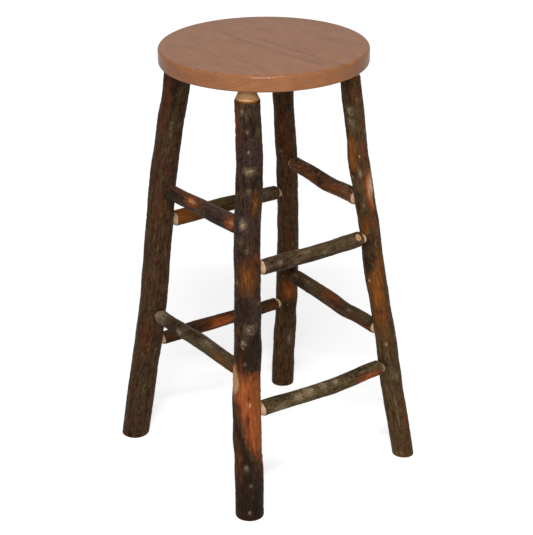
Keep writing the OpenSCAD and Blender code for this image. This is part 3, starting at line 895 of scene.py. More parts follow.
# First leg, second leg, turn of the section, and rows of share of the length, up, out, added thickness
RUNG_SHAPES = {
    "left_upper_rung": (0, 1, 1, [[0, 0, 0, -1.5], [0.25, 0, 1, -1], [0.55, 0.5, 2, 1], [0.8, 0, 1, 3],
                                  [1, 0, 0, 3]]),
    "back_upper_rung": (0, 3, 2, [[0, 0, 0, 2], [0.2, 0, -1, 1.5], [0.5, 1, -2, 0.5], [0.8, 0, -1, -0.5],
                                  [1, 0, 0, -0.5]]),
    "front_upper_rung": (1, 2, 3, [[0, 0, 0, 0.5], [0.2, 0, 1, 0.5], [0.5, -1, 2, -0.5], [0.8, -0.5, 1, -0.5],
                                   [0.9, 0, 0, 0], [1, 0, 0, 0]]),
    "right_upper_rung": (3, 2, 4, [[0, 0, 0, -0.5], [0.3, 0.5, 1, -0.5], [0.5, -2, 2, 1.5],
                                   [0.62, -1.5, 2, 0], [0.8, 0.5, 1, 0], [1, 0, 0, 0]]),
    "left_lower_rung": (0, 1, 5, [[0, 0, 0, -1], [0.2, 0, 0, -1.5], [0.4, 0, -2, -1.5], [0.57, 1, -2, -0.5],
                                  [0.75, 0, -1, -1.5], [1, 0, 0, -1]]),
    "back_lower_rung": (0, 3, 6, [[0, 0, 0, -3.5], [0.15, 0, 0, -3], [0.37, 1.5, 1, -1], [0.55, 1, 2, -3.5],
                                  [0.85, 0, 1, -3.5], [1, 0, 0, -3.5]]),
    "front_lower_rung": (1, 2, 7, [[0, 0, 0, 0], [0.14, 1, 0, 0], [0.35, -1.5, 1, -1], [0.58, -3.5, 1, 0],
                                   [0.76, -1, 1, 1], [0.9, 1.5, 0, 1], [1, 0, 0, 0]]),
    "right_lower_rung": (3, 2, 8, [[0, 0, 0, 0.5], [0.36, 0.5, 1, 1], [0.5, 0, 2, 1.5], [0.63, -2, 2, 0],
                                   [0.73, -0.5, 1, -1], [0.82, 0.5, 1, -1], [1, 0, 0, -2]]),
}
# Trimmed twigs: share of the length, angle from straight up, width, and 1 where the face is still fresh
RUNG_TWIGS = {
    "front_upper_rung": [(0.86, 50, 11, 1)],
    "left_lower_rung": [(0.37, 74, 9, 0)],
    "back_lower_rung": [(0.3, 200, 8, 1)],
}
# Marks: from and to in percent of the length, then first and last angle from straight up
RUNG_MARKS = {
    # On the left upper rung, the violet mark from 54 to 86 percent is a painted sheen: a grey-violet highlight
    # drawn as colour.
    "left_upper_rung": {"rust": [(8, 54, -40, 20)], "peel": [(32, 53, 14, 84, 0.85), (82, 102, 0, 125, 0.85)],
                        "bare": [(36, 50, 26, 70, 0.66), (86, 98, 24, 96, 0.66)],
                        "violet_and_sheen": [(54, 86, 0, 95)], "stain": [(2, 34, 30, 150), (54, 82, 60, 150, 0.9)]},
    "back_upper_rung": {"ochre": [(0, 34, -60, 160)], "peel": [(2, 18, 20, 100, 0.62)],
                        "amber": [(0, 24, -20, 120, 0.85)], "lichen_and_sheen": [(66, 87, 5, 80, 0.8)],
                        "moss": [(32, 62, -40, 90), (60, 100, -40, 130, 0.95)],
                        "stain": [(36, 60, 80, 150, 0.8)]},
    "front_upper_rung": {"moss": [(44, 84, -30, 90, 0.9)],
                         "stain": [(14, 30, 20, 150), (30, 84, 100, 160, 0.8)],
                         "lichen_and_sheen": [(18, 25, 48, 92, 0.75), (39, 47, 18, 62, 0.7), (55, 61, 58, 102, 0.7)]},
    "right_upper_rung": {"rust": [(10, 95, 36, 112)],
                         "ochre": [(27, 47, 56, 94, 0.85), (57, 79, 56, 97, 0.85)],
                         "stain": [(14, 87, -50, 22, 0.9), (48, 56, 30, 120, 0.8)]},
    "left_lower_rung": {"lichen_and_sheen": [(-8, 20, -50, 130), (33, 39, 54, 94), (56, 69, 2, 50, 0.8)],
                        "moss": [(14, 34, -20, 110, 0.8), (40, 98, 20, 116)],
                        "ochre": [(70, 92, 40, 110, 0.72)],
                        "peel": [(90, 102, 36, 130, 0.9)], "fresh": [(-8, 10, -60, 140, 0.85)],
                        "stain": [(20, 34, 0, 150, 0.9), (42, 56, -10, 50, 0.8)]},
    "back_lower_rung": {"rust": [(16, 96, -30, 150, 0.6)], "peel": [(40, 58, 26, 126)],
                        "stain": [(58, 87, -40, 50, 0.8), (14, 38, 20, 150, 0.85)]},
    "front_lower_rung": {"lichen_and_sheen": [(29, 36, 18, 94), (36, 44, -12, 84), (47, 53, -12, 62), (56, 62, -2, 52),
                                    (14, 25, 73, 144, 0.9), (91, 99, -20, 90)],
                         "peel": [(72, 91, 68, 150, 0.95)], "moss": [(8, 66, -30, 140)],
                         "stain": [(14, 28, -40, 40, 0.8), (62, 87, -30, 40, 0.7)]},
    "right_lower_rung": {"ochre": [(40, 54, 0, 60, 0.75)],
                         "rust": [(42, 62, -30, 80, 0.9), (72, 97, 70, 150, 0.8)],
                         "moss": [(13, 40, -20, 90, 0.85), (64, 96, -20, 70, 0.9)],
                         "lichen_and_sheen": [(20, 34, 20, 60, 0.62), (66, 72, 20, 60, 0.7)],
                         "stain": [(13, 26, 50, 150, 0.9)]},
}
# How bare a rung's two bevels are: 0 where the bark runs on to the tenon, 1 where the cutter shaved it off
PALE_ENDS = {
    "left_upper_rung": (0, 0), "back_upper_rung": (1, 0.7), "front_upper_rung": (1, 0.9),
    "right_upper_rung": (0.6, 1), "left_lower_rung": (0, 0), "back_lower_rung": (1, 0.8),
    "front_lower_rung": (1, 0.6), "right_lower_rung": (0, 1),
}
HIDDEN_RUNG_MARKS = {"peel": 1, "ochre": 2, "lichen_and_sheen": 3, "rust": 2, "moss": 1, "violet_and_sheen": 1}
PERCENT = 100
print("rungs:", len(RUNG_SHAPES))


# %% Rung line
def rung_line(name):
    """A rung's start, axis, span and its directions up and out, between the middles of its two legs."""
    near = leg_lines[RUNG_SHAPES[name][0]][0]
    first, second = sorted(end_centres(name), key=lambda end: np.linalg.norm(end - near))
    axis = (second - first) / np.linalg.norm(second - first)
    up = np.array([0, 0, 1.0]) - axis * axis[2]
    up /= np.linalg.norm(up)
    span = np.linalg.norm(second - first) - 2 * TENON_PAST
    return first + TENON_PAST * axis, axis, span, up, np.cross(axis, up)


def bark_reach(k, point, way):
    """How far the bark of leg k reaches from its middle in a direction, with the clear space before a
    rung."""
    return leg_radius(k, np.array(point[2]), np.arctan2(way[1], way[0])) + SHOULDER_GAP


rung_lines = {name: rung_line(name) for name in RUNGS}
for name, (_, _, span, _, _) in rung_lines.items():
    print(name, "spans", round(span / MM, 1), "mm")

# %% Rung skin
RUNG_AROUND, RUNG_ROWS, BEVEL_ROWS = 80, 210, 12
RUNG_SEED = 1000
# Thinner poles have a lower relief and thinner bark. A bevel's rings crowd at its thin end by a power
RUNG_RELIEF, RUNG_WEAR, BEVEL_POWER = 0.8, 0.6, 1.5
# Between which shares of the bark's radius a bevel turns from bare wood to bark
SHAVED_TO = (0.9, 0.97)


def rung_fields(name, angle, along, span):
    """A rung's marks, from percent of its length to millimetres, and scattered ones on its far side."""
    seed = RUNG_SEED + RUNG_SHAPES[name][2]
    step = span / PERCENT / MM
    marks = {kind: [(low * step, high * step, *rest) for low, high, *rest in group]
             for kind, group in RUNG_MARKS[name].items()}
    hidden = {kind: [(low, high, left + 180, right + 180) for low, high, left, right in group]
              for kind, group in scattered(seed, span / MM, HIDDEN_RUNG_MARKS).items()}
    return pole_fields(angle, along, marks, hidden, {})


def rung_lengths(name):
    """Where the rings of a rung lie along it: tenon, bevel, bark, bevel, tenon. Also gives the bark's two
    ends."""
    one, two = RUNG_SHAPES[name][:2]
    start, axis, span, _, _ = rung_lines[name]
    low = bark_reach(one, start, axis)
    high = span - bark_reach(two, start + axis * span, -axis)
    bevel = np.linspace(0, 1, BEVEL_ROWS) ** BEVEL_POWER * RUNG_POINT
    body = np.linspace(low + RUNG_POINT, high - RUNG_POINT, RUNG_ROWS)[1:-1]
    ends = [-TENON_PAST, low - MM], [high + MM, span + TENON_PAST]
    return np.concatenate([ends[0], low + bevel, body, high - bevel[::-1], ends[1]])[:, None], low, high


def rung_skin_radius(name, angle, along, into, plain, fields):
    """The larger of the tenon's radius and core + (bark - core) sin(90 x), where x is how far into its bevel
    a point lies. Also gives the twig faces."""
    seed, span = RUNG_SHAPES[name][2], rung_lines[name][2]
    lift = RUNG_RELIEF * bark_height(RUNG_SEED + 10 * seed, angle, along)
    lift = lift - RUNG_WEAR * worn(fields, angle, along, RUNG_SEED + seed)
    twigs = [(place * span, facing, across * MM, fresh)
             for place, facing, across, fresh in RUNG_TWIGS.get(name, [])]
    stubs, face = knots(angle, along, plain, twigs, TWIG_PROUD)
    bark = plain + np.where(stubs > 0, np.maximum(lift, stubs), lift)
    core = RUNG_TENON_D / 2 - POINT_SINK
    return np.maximum(core + (bark - core) * np.sin(np.pi / 2 * into), RUNG_TENON_D / 2), face


def make_rung(name):
    """One grid from tenon end to tenon end, on a line that the crook moves up and out."""
    _, _, seed, crook = RUNG_SHAPES[name]
    start, axis, span, up, out = rung_lines[name]
    along, low, high = rung_lengths(name)
    angle = np.linspace(0, 2 * np.pi, RUNG_AROUND, endpoint=False)[None, :]
    share = np.clip(along / span, 0, 1)
    crooks = through(crook, share[:, 0]) * MM
    plain = (RUNG_D + crooks[:, 2:]) / 2 * grown(angle, share, seed)
    fields = rung_fields(name, angle, along, span)
    into = np.clip(np.minimum(along - low, high - along) / RUNG_POINT, 0, 1)
    radius, face = rung_skin_radius(name, angle, along, into, plain, fields)
    shift = crooks[:, None, :2] * into[..., None]
    line = start + along[..., None] * axis + shift[..., :1] * up + shift[..., 1:] * out
    rings = line + radius[..., None] * (np.cos(angle)[..., None] * up + np.sin(angle)[..., None] * out)
    pale = np.where(along < span / 2, *PALE_ENDS[name])
    shaved = (into < 1) * (1 - eased(radius / plain, *SHAVED_TO))
    fields["fresh"] = np.maximum(fields["fresh"], pale * shaved)
    grids = {**fields, "knot": face, "sawn": 0 * radius,
             "pole": pole_place(radius, angle, along, len(LEGS) + seed)}
    return closed_skin(name + "_skin", rings, grids)


rungs = {name: make_rung(name) for name in RUNGS}
for rung in rungs.values():
    print(rung.name, "has", len(rung.data.polygons), "faces")

# %% Drill the joints
GLUE_GAP, END_GAP = 0.1 * MM, 1 * MM
PIN_D, PIN_LENGTH, PIN_HEAD_D, PIN_HEAD_T = 2 * MM, 28 * MM, 3.4 * MM, 0.8 * MM
PIN_SET, PIN_PLACE = 0.6 * MM, 0.5
LEVEL = np.array([1, 1, 0])


def rung_ends():
    """Every rung end: the rung, its leg, its point on the leg's middle and the direction into the rung."""
    for name, (start, axis, span, _, _) in rung_lines.items():
        one, two = RUNG_SHAPES[name][:2]
        yield name, one, start, axis
        yield name, two, start + axis * span, -axis


def mortise(middle, way):
    """A plain bar from past the leg's middle out through the bark."""
    past, radius = TENON_PAST + END_GAP, RUNG_TENON_D / 2 + GLUE_GAP
    return bar(middle, way, [(-past, radius), (FOOT_D, radius)])


def pin_hole(k, middle, way):
    """A stepped bar, level and square to the rung, from outside the leg's inner face through the tenon: wide
    for the pin's head, then narrow for its shank."""
    half = leg_width(k, np.array(middle[2])) / 2
    level = way * LEVEL / np.linalg.norm(way[:2])
    inward = -middle * LEVEL
    inward = inward - level * (inward @ level)
    inward /= np.linalg.norm(inward)
    mouth = middle + way * PIN_PLACE * half + inward * (half * np.sqrt(1 - PIN_PLACE**2) - PIN_SET)
    head, shank = PIN_HEAD_D / 2 + GLUE_GAP, PIN_D / 2 + GLUE_GAP
    shoulder = PIN_HEAD_T + GLUE_GAP
    steps = [(-FOOT_D / 2, head), (shoulder, head), (shoulder, shank), (PIN_LENGTH + GLUE_GAP, shank)]
    return bar(mouth, -inward, steps)


for name, k, middle, way in rung_ends():
    drill(legs[k], [mortise(middle, way), pin_hole(k, middle, way)])
    drill(rungs[name], [pin_hole(k, middle, way)])
for piece in [*legs, *rungs.values()]:
    print(piece.name, "drilled,", len(piece.data.polygons), "faces")

# %% [markdown]
# ## Fibres and torn outlines
#
# Wood and bark share one habit: everything is drawn out along the grain. So the first node group makes
# fibres, a noise that is stretched by two sizes in millimetres, across and along. The second one takes a
# mark's soft field and tears its outline with such a noise. It gives the patch, a narrow rim just outside it
# and how deep inside the patch a point lies. Both are used again and again, each time with other values.

# %% Fibres and patches
NOISE_RANGE = (0.28, 0.72)
# Values of a mark's field: from which on its outline is torn in full, where its rim starts, and between which
# two its depth grows. Last the least depth
FULL_RAG, RIM_START, DEPTH_ENDS, LEAST_DEPTH = 0.3, 0.34, (0.45, 0.9), 0.45


def build_fibres():
    """Noise of place / (across, across, along), spread to the full range."""
    inputs = [("Place", "NodeSocketVector", (0, 0, 0)), ("Across", "NodeSocketFloat", 1.0),
              ("Along", "NodeSocketFloat", 30.0)]
    tree, given, out = new_group("wood_fibres", inputs, [("Fibre", "NodeSocketFloat")])
    sizes = node(tree, "ShaderNodeCombineXYZ", {0: given["Across"], 1: given["Across"], 2: given["Along"]})
    per_mm = vector_maths(tree, "MULTIPLY", given["Place"], (1 / MM,) * 3)
    steps = vector_maths(tree, "DIVIDE", per_mm, sizes.outputs[0])
    noise = node(tree, "ShaderNodeTexNoise", {"Vector": steps, "Scale": 1.0, "Detail": 3.0, "Roughness": 0.6})
    feed(tree, spread(tree, noise.outputs[0], *NOISE_RANGE, smooth=False), out["Fibre"])
    return tree


def fibres_of(tree, place, across, along):
    """Fibres of one size in mm, over a place in metres."""
    return use_group(tree, wood_fibres, {"Place": place, "Across": across, "Along": along})["Fibre"]


def build_patch():
    """Torn = mask + rag (fibre - 1/2), with no rag where the mask is 0, so that nothing shows there. The
    patch is where torn passes 1/2, within the softness. Depth is low at the outline and 1 well inside."""
    inputs = [("Mask", "NodeSocketFloat", 0.0), ("Place", "NodeSocketVector", (0, 0, 0)),
              ("Across", "NodeSocketFloat", 2.0), ("Along", "NodeSocketFloat", 20.0),
              ("Rag", "NodeSocketFloat", 0.5), ("Softness", "NodeSocketFloat", 0.1)]
    outputs = [(title, "NodeSocketFloat") for title in ("Share", "Rim", "Depth")]
    tree, given, out = new_group("torn_patch", inputs, outputs)
    fibre = fibres_of(tree, given["Place"], given["Across"], given["Along"])
    rag = maths(tree, "MULTIPLY", given["Rag"], spread(tree, given["Mask"], 0.0, FULL_RAG))
    torn = maths(tree, "MULTIPLY_ADD", maths(tree, "SUBTRACT", fibre, 0.5), rag, given["Mask"])
    share = spread(tree, torn, maths(tree, "SUBTRACT", 0.5, given["Softness"]),
                   maths(tree, "ADD", 0.5, given["Softness"]))
    near = spread(tree, torn, RIM_START, 0.5)
    feed(tree, share, out["Share"])
    feed(tree, maths(tree, "MULTIPLY", near, maths(tree, "SUBTRACT", 1.0, share)), out["Rim"])
    feed(tree, spread(tree, torn, *DEPTH_ENDS, LEAST_DEPTH, 1.0), out["Depth"])
    return tree


wood_fibres = build_fibres()
torn_patch = build_patch()
print("groups:", wood_fibres.name, torn_patch.name)

# %% [markdown]
# ## Bark, layer by layer
#
# Hickory bark is painted here as it ages: first the plain bark, a mix of fine fibres, mottles, blotches and
# broad fibres, which leans to olive here and to rust there. Then come weathered tints, then what shows where
# the bark is worn or gone, from ochre inner bark to fresh wood, and last dark stains and lichen. One table
# holds the layers, each with its two colours, the size of its fibres in mm, how ragged and how soft its
# outline is, how fully it covers and how rough it is.

# %% Bark layers
LAYER_KEYS = ("dark", "light", "across", "along", "rag", "soft", "cover", "rough")
# The lichen row's pale colour also paints a glint and a strip of sheen on two legs, and the violet row's colour
# a grey-violet sheen on one rung.
LAYER_ROWS = {
    "rust": (srgb(56, 27, 15), srgb(126, 66, 36), 5, 20, 0.8, 0.4, 0.75, 0.6),
    "moss": (srgb(26, 22, 13), srgb(112, 97, 64), 3, 8, 0.8, 0.4, 0.75, 0.65),
    "violet_and_sheen": (srgb(27, 18, 18), srgb(76, 55, 57), 4, 7, 0.8, 0.4, 0.75, 0.55),
    "ochre": (srgb(66, 37, 14), srgb(146, 88, 36), 2.2, 24, 0.6, 0.35, 0.9, 0.55),
    "peel": (srgb(100, 46, 20), srgb(184, 103, 56), 4, 40, 0.35, 0.26, 1.0, 0.5),
    "amber": (srgb(88, 46, 17), srgb(178, 106, 46), 3, 36, 0.5, 0.4, 0.85, 0.5),
    "bare": (srgb(158, 114, 74), srgb(206, 162, 118), 1.2, 36, 0.3, 0.14, 1.0, 0.55),
    "fresh": (srgb(188, 146, 110), srgb(226, 190, 158), 1.6, 18, 0.3, 0.3, 1.0, 0.6),
    "stain": (srgb(16, 11, 8), srgb(48, 33, 24), 4, 18, 0.8, 0.4, 0.85, 0.6),
    "lichen_and_sheen": (srgb(74, 60, 46), srgb(176, 154, 124), 3, 5, 0.45, 0.3, 0.8, 0.85),
}
LAYERS = {kind: dict(zip(LAYER_KEYS, row)) for kind, row in LAYER_ROWS.items()}
# Fibres of another size tear a layer's outline. In its tone its own fibres outweigh the plain bark's
OUTLINE_ACROSS, OUTLINE_ALONG, FIBRE_SHARE = 1.6, 0.6, 0.75
EDGE_DARK, EDGE_SHARE, PEEL_BUMP = srgb(34, 22, 15), 0.75, 0.35

# Patterns of the plain bark: across and along in mm, and the weight in its tone
BARK_FIBRES = {"fine": (1.4, 16.0, 0.24), "mottle": (3.2, 7.0, 0.22), "blotch": (7.0, 13.0, 0.18),
               "broad": (4.5, 45.0, 0.24), "olive": (7.0, 18.0, 0), "rusty": (8.0, 26.0, 0)}
TONE_RANGE, BARK_ROUGH = (0.24, 0.67), (0.62, 0.48)
# Tints of the plain bark: the colour, then where in its pattern it starts and is full, and its shares there
OLIVE, OLIVE_SPREAD = srgb(88, 76, 48), (0.45, 0.8, 0.0, 0.6)
RUSTY, RUSTY_SPREAD = srgb(108, 60, 40), (0.5, 0.85, 0.0, 0.6)
FLECK, FLECK_SPREAD = srgb(120, 108, 86), (0.8, 0.98, 0.0, 0.3)

# A trimmed twig's face, where its field grows, and where its brown ring rises and falls in it
KNOT_PALE, KNOT_BROWN = srgb(196, 152, 114), srgb(112, 70, 42)
KNOT_EDGE, KNOT_RING, KNOT_RING_SHARE = (0.02, 0.16), ((0.38, 0.5), (0.62, 0.74)), 0.8
KNOT_ROUGH, SAWN_ROUGH = 0.6, 0.75
RING_PITCH = 1.7 * MM
print("layers:", ", ".join(LAYERS))


# %% Bark finish
def cover(tree, share, under, over):
    """Lay (colour, roughness, height) over another such triple by one share."""
    colour = tint(tree, share, under[0], over[0])
    rest = [node(tree, "ShaderNodeMix", {0: share, 2: under[k], 3: over[k]}).outputs[0] for k in (1, 2)]
    return colour, *rest


def plain_bark(tree, place, dark, light):
    """Fine fibres, mottles, blotches and broad fibres, added with weights, choose between the dark and the
    light bark. Two other patterns first turn the light bark olive here and rusty there."""
    fibre, tone = {}, 0.0
    for title, (across, along, weight) in BARK_FIBRES.items():
        fibre[title] = fibres_of(tree, place, across, along)
        if weight:
            tone = maths(tree, "MULTIPLY_ADD", fibre[title], weight, tone)
    tone = spread(tree, tone, *TONE_RANGE, smooth=False)
    light = tint(tree, spread(tree, fibre["olive"], *OLIVE_SPREAD), light, OLIVE)
    light = tint(tree, spread(tree, fibre["rusty"], *RUSTY_SPREAD), light, RUSTY)
    return tint(tree, tone, dark, light), tone, fibre["blotch"]


def layer(tree, place, kind, mask, tone):
    """One layer's torn patch, its rim, and its own colour, roughness and height. Its outline is darker."""
    row = LAYERS[kind]
    across, along = float(row["across"]), float(row["along"])
    torn = {"Mask": mask, "Place": place, "Across": OUTLINE_ACROSS * across, "Along": OUTLINE_ALONG * along,
            "Rag": row["rag"], "Softness": row["soft"]}
    patch = use_group(tree, torn_patch, torn)
    own = maths(tree, "MULTIPLY", fibres_of(tree, place, across, along), FIBRE_SHARE)
    both = maths(tree, "MULTIPLY_ADD", tone, 1 - FIBRE_SHARE, own)
    both = maths(tree, "MULTIPLY", both, patch["Depth"])
    share = maths(tree, "MULTIPLY", patch["Share"], row["cover"])
    return share, patch["Rim"], (tint(tree, both, row["dark"], row["light"]), row["rough"], both)


def build_bark():
    """Plain bark under all layers, then the faces of trimmed twigs and of the sawn foot."""
    inputs = [("Place", "NodeSocketVector", (0, 0, 0)), ("Dark", "NodeSocketColor", (0, 0, 0, 1)),
              ("Light", "NodeSocketColor", (1, 1, 1, 1))]
    inputs += [(kind, "NodeSocketFloat", 0.0) for kind in MARK_KINDS + EXTRA_FIELDS]
    tree, given, out = new_group("bark_finish", inputs, FINISH)
    place = given["Place"]
    colour, tone, blotch = plain_bark(tree, place, given["Dark"], given["Light"])
    colour = tint(tree, spread(tree, blotch, *FLECK_SPREAD), colour, FLECK)
    now = (colour, spread(tree, tone, 0, 1, *BARK_ROUGH, smooth=False), tone)
    for kind in LAYERS:
        share, rim, over = layer(tree, place, kind, given[kind], tone)
        if kind in PEEL_KINDS:
            now = (tint(tree, maths(tree, "MULTIPLY", rim, EDGE_SHARE), now[0], EDGE_DARK), *now[1:])
            over = (*over[:2], maths(tree, "MULTIPLY", over[2], PEEL_BUMP))
        now = cover(tree, share, now, over)
    now = cut_faces(tree, place, given, now)
    for value, (title, _) in zip(now, FINISH):
        feed(tree, value, out[title])
    return tree


def cut_faces(tree, place, given, now):
    """A twig's face is pale with a brown ring. A sawn foot shows year rings, cos of 2 pi r / pitch."""
    knot = given["knot"]
    ring = maths(tree, "SUBTRACT", *(spread(tree, knot, *ends) for ends in KNOT_RING))
    face = tint(tree, maths(tree, "MULTIPLY", ring, KNOT_RING_SHARE), KNOT_PALE, KNOT_BROWN)
    now = cover(tree, spread(tree, knot, *KNOT_EDGE), now, (face, KNOT_ROUGH, 0.5))
    out = vector_maths(tree, "LENGTH", vector_maths(tree, "MULTIPLY", place, (1, 1, 0)))
    wave = maths(tree, "COSINE", maths(tree, "MULTIPLY", out, 2 * np.pi / RING_PITCH))
    rings = spread(tree, wave, -1, 1)
    wood = tint(tree, rings, LAYERS["bare"]["dark"], LAYERS["bare"]["light"])
    return cover(tree, given["sawn"], now, (wood, SAWN_ROUGH, rings))


bark_finish = build_bark()
print("bark group has", len(bark_finish.nodes), "nodes")

# %% [markdown]
# ## Hickory poles
#
# Each pole gets its own material from the same group, since no two trees are the same brown. Bark drinks up
# most of a varnish, so its shine is weak, and since it's the same all over, its numbers sit on the shader
# itself. The bump gives the fibres that are too fine for the mesh.

# %% Hickory materials
BARK_BUMP = (0.35 * MM, 0.8)
BARK_SHINE = {"Specular IOR Level": 0.035, "Coat Weight": 0.01, "Coat Roughness": 0.3}


def paint_pole(piece, dark, light):
    """A material of bark for one pole, which reads the marks that its mesh carries."""
    paint, tree, shader = new_paint(piece.name.replace("_skin", "_hickory"))
    place = node(tree, "ShaderNodeAttribute", attribute_name="pole").outputs["Vector"]
    marks = {kind: node(tree, "ShaderNodeAttribute", attribute_name=kind).outputs["Fac"]
             for kind in MARK_KINDS + EXTRA_FIELDS}
    bark = use_group(tree, bark_finish, {"Place": place, "Dark": dark, "Light": light, **marks})
    show_finish(tree, shader, bark, *BARK_BUMP, BARK_SHINE)
    put_on(piece, paint)


# Dark and light bark of each pole
BARK_TONES = {
    "back_left_leg": ((29, 19, 12), (88, 61, 40)),
    "front_left_leg": ((10, 7, 5), (74, 56, 43)),
    "front_right_leg": ((35, 26, 15), (106, 80, 50)),
    "back_right_leg": ((24, 16, 9), (98, 68, 40)),
    "left_upper_rung": ((28, 20, 16), (108, 84, 66)),
    "back_upper_rung": ((38, 26, 15), (124, 90, 56)),
    "front_upper_rung": ((30, 22, 15), (122, 98, 72)),
    "right_upper_rung": ((36, 24, 17), (162, 120, 88)),
    "left_lower_rung": ((28, 22, 15), (106, 88, 64)),
    "back_lower_rung": ((28, 16, 9), (106, 68, 40)),
    "front_lower_rung": ((18, 13, 8), (128, 104, 70)),
    "right_lower_rung": ((28, 19, 12), (112, 84, 58)),
}
for piece in [*legs, *rungs.values()]:
    dark, light = BARK_TONES[piece.name.replace("_skin", "")]
    paint_pole(piece, srgb(*dark), srgb(*light))
print("bark tones:", len(BARK_TONES))

# %% [markdown]
# ## Oak seat
#
# Red oak's figure comes from its year rings, which are tubes round the tree's middle, cut through by the
# board's faces. So the pattern here is worked out in the solid: the distance from a pith line that leans and
# bends a little along the board. On the top it gives long soft lines, and on the rim the same rings run on
# down as end grain, without a seam. Planed and coated oak looks almost even from afar, so most rings are
# faint. Up to two dry summers in a board stand out as darker lines, each over a part of the board's length.

# %% Oak grain
# Fibre patterns of the oak, across and along in mm. The first one shifts the rings, over a range in mm
OAK_FIBRES = {"wave": (20.0, 90.0), "fine": (1.4, 22.0), "cloud": (26.0, 60.0), "pores": (0.55, 6.0)}
WAVE_SIZE, PORE_RANGE = 3.0, (0.66, 0.9)
# A dark year in mm: how it rises up to its edge, how it falls past it, and how it fades at both ends
DARK_RISE, DARK_FALL, YEAR_FADE = (-2.6, 0.0), (0.0, 1.0), 30.0
# Where in a year late wood rises and falls, and the ranges of a random number and of its strength from it
LATE_RISE, LATE_FALL, YEAR_SPREAD = (0.35, 0.9), (0.93, 1.0), (0.3, 1.0, 0.1, 1.0)
# How much of the dark oak each pattern brings in, and how rough the palest and the darkest oak are
FAINT_SHARE, FINE_SHARE, CLOUD_SHARE, PORE_SHARE = 0.2, 0.42, 0.28, 0.24
OAK_ROUGH = (0.34, 0.5)


def pith_distance(tree, given, y):
    """Distance in mm from the line x, z = pith + lean y + bend y^2."""
    slope = vector_maths(tree, "ADD", given["Lean"], scaled(tree, given["Bend"], y))
    line = vector_maths(tree, "ADD", given["Pith"], scaled(tree, slope, y))
    apart = vector_maths(tree, "SUBTRACT", given["Place"], line)
    flat = vector_maths(tree, "MULTIPLY", apart, (1, 0, 1))
    return maths(tree, "DIVIDE", vector_maths(tree, "LENGTH", flat), MM)


def faint_years(tree, distance, pitch):
    """Years of one pitch, each with late wood at its end that is as strong as the year's own random
    number."""
    rings = maths(tree, "DIVIDE", distance, pitch)
    part = maths(tree, "FRACT", rings)
    late = maths(tree, "SUBTRACT", spread(tree, part, *LATE_RISE), spread(tree, part, *LATE_FALL))
    year = node(tree, "ShaderNodeTexWhiteNoise", {"W": maths(tree, "FLOOR", rings)}, noise_dimensions="1D")
    return maths(tree, "MULTIPLY", late, spread(tree, year.outputs["Value"], *YEAR_SPREAD, smooth=False))


def dark_year(tree, distance, length, year):
    """Late wood darkens up to a distance from the pith and ends there. It fades in and out along the board.
    The year's vector holds that distance and the two ends, in mm."""
    edge, *ends = node(tree, "ShaderNodeSeparateXYZ", {0: year}).outputs
    past = maths(tree, "SUBTRACT", distance, edge)
    dark = maths(tree, "SUBTRACT", spread(tree, past, *DARK_RISE), spread(tree, past, *DARK_FALL))
    fades = [spread(tree, length, maths(tree, "SUBTRACT", end, YEAR_FADE), maths(tree, "ADD", end, YEAR_FADE))
             for end in ends]
    return maths(tree, "MULTIPLY", dark, maths(tree, "SUBTRACT", *fades))


def build_oak():
    """Faint years and up to two dark ones, at a distance from the pith that noise makes a little wavy, under
    fine fibres, broad clouds and the open pores, which are short dashes along y."""
    inputs = [("Place", "NodeSocketVector", (0, 0, 0)), ("Pith", "NodeSocketVector", (0, 0, 0)),
              ("Lean", "NodeSocketVector", (0, 0, 0)), ("Bend", "NodeSocketVector", (0, 0, 0)),
              ("Pitch", "NodeSocketFloat", 5.0), ("First", "NodeSocketVector", (0, 0, 0)),
              ("Second", "NodeSocketVector", (0, 0, 0)), ("Strength", "NodeSocketFloat", 0.2),
              ("Dark", "NodeSocketColor", (0, 0, 0, 1)), ("Light", "NodeSocketColor", (1, 1, 1, 1))]
    tree, given, out = new_group("oak_grain", inputs, FINISH)
    axes = node(tree, "ShaderNodeSeparateXYZ", {0: given["Place"]}).outputs
    along = node(tree, "ShaderNodeCombineXYZ", {0: axes["X"], 1: axes["Z"], 2: axes["Y"]}).outputs[0]
    wave, fine, cloud, pores = (fibres_of(tree, along, *size) for size in OAK_FIBRES.values())
    distance = pith_distance(tree, given, axes["Y"])
    wavy = maths(tree, "MULTIPLY_ADD", maths(tree, "SUBTRACT", wave, 0.5), WAVE_SIZE, distance)
    length = maths(tree, "DIVIDE", axes["Y"], MM)
    strong = [dark_year(tree, wavy, length, given[title]) for title in ("First", "Second")]
    strong = maths(tree, "MAXIMUM", *strong)
    pores = spread(tree, pores, *PORE_RANGE)
    shade = maths(tree, "MULTIPLY", faint_years(tree, wavy, given["Pitch"]), FAINT_SHARE)
    patterns = ((given["Strength"], strong), (FINE_SHARE, fine), (CLOUD_SHARE, cloud), (PORE_SHARE, pores))
    for share, pattern in patterns:
        shade = maths(tree, "MULTIPLY_ADD", pattern, share, shade)
    feed(tree, tint(tree, shade, given["Light"], given["Dark"]), out["Color"])
    feed(tree, spread(tree, shade, 0, 1, *OAK_ROUGH, smooth=False), out["Roughness"])
    feed(tree, maths(tree, "SUBTRACT", 1.0, maths(tree, "MAXIMUM", pores, strong)), out["Height"])
    return tree


oak_grain = build_oak()
print("oak group has", len(oak_grain.nodes), "nodes")

# %% Oak materials
SEAT_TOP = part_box("seat_middle_board")[1].z
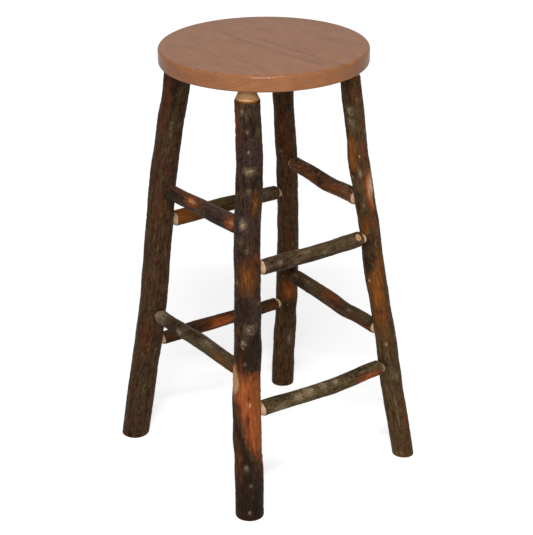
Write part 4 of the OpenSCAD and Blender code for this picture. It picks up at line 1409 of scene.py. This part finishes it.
# Pith x and depth below the top in mm, lean and bend to the right, ring pitch in mm, strength of the dark
# years, and of each its distance from the pith and where along the board it starts and ends, in mm
BOARDS = {
    "seat_left_board": ((-40, 230), -0.10, -0.5, 3.4, 0.22, (235.5, -150, -30), (238, -15, 60)),
    "seat_middle_board": ((-90, 240), -0.065, 0.3, 3.0, 0.3, (253.0, -150, 130), (263.0, -190, 70)),
    "seat_right_board": ((-60, 260), 0.03, 0.2, 3.6, 0.18, (320.6, 40, 125), (0, 0, 0)),
}
OAK_TONES = {"Dark": srgb(104, 60, 34), "Light": srgb(164, 107, 65)}
OAK_BUMP = (0.08 * MM, 0.5)
OAK_SHINE = {"Specular IOR Level": 0.0, "Coat Weight": 0.4, "Coat Roughness": 0.13}


def paint_board(name, pith, lean, bend, pitch, strength, first, second):
    """Oak for one board, on Object coordinates, with a satin clear coat."""
    paint, tree, shader = new_paint(name + "_oak")
    place = tree.nodes.new("ShaderNodeTexCoord").outputs["Object"]
    middle = (pith[0] * MM, 0, SEAT_TOP - pith[1] * MM)
    growth = {"Pith": middle, "Lean": (lean, 0, 0), "Bend": (bend, 0, 0), "Pitch": pitch}
    years = {"Strength": strength, "First": first, "Second": second}
    grain = use_group(tree, oak_grain, {"Place": place, **growth, **years, **OAK_TONES})
    show_finish(tree, shader, grain, *OAK_BUMP, OAK_SHINE)
    put_on(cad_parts[name], paint)


for name, values in BOARDS.items():
    paint_board(name, *values)
print("boards painted:", len(BOARDS))

# %% [markdown]
# ## Steel pins
#
# Sixteen steel pins lock the rung tenons from the inner side of each leg. Only their small heads show, and
# they are dull, so that none glitters between the poles. Drawn steel has faint scratches, so its roughness
# follows a fine fibre pattern.

# %% Pin steel
PIN_SCRATCHES, PIN_ROUGH = (0.3, 4.0), (0.4, 0.6)
PIN_DARK, PIN_LIGHT = srgb(70, 66, 62), srgb(104, 98, 92)


def paint_pins():
    """Bare steel whose colour and roughness vary with fine fibres."""
    paint, tree, shader = new_paint("drawn_pin_steel")
    place = tree.nodes.new("ShaderNodeTexCoord").outputs["Object"]
    scratch = fibres_of(tree, place, *PIN_SCRATCHES)
    feed(tree, tint(tree, scratch, PIN_DARK, PIN_LIGHT), shader.inputs["Base Color"])
    feed(tree, spread(tree, scratch, 0, 1, *PIN_ROUGH, smooth=False), shader.inputs["Roughness"])
    shader.inputs["Metallic"].default_value = 1.0
    put_on(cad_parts["rung_pins"], paint)


paint_pins()
print("pins painted")

# %% [markdown]
# ## Handing over
#
# Each dressed pole stands for the plain solid of the same name and rides with the stool's one body. Last,
# both boxes are printed: the imported model's and the dressed one's, which mustn't be larger.

# %% Hand over
for name, piece in [*zip(LEGS, legs), *rungs.items()]:
    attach(piece, "root")
    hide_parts(name)
boxes = {"cad": [list(corner) for corner in CAD_BOX], "visual": [list(corner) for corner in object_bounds()]}
for title, box in boxes.items():
    print(title, "size in mm:", [round((high - low) / MM, 2) for low, high in zip(*box)])
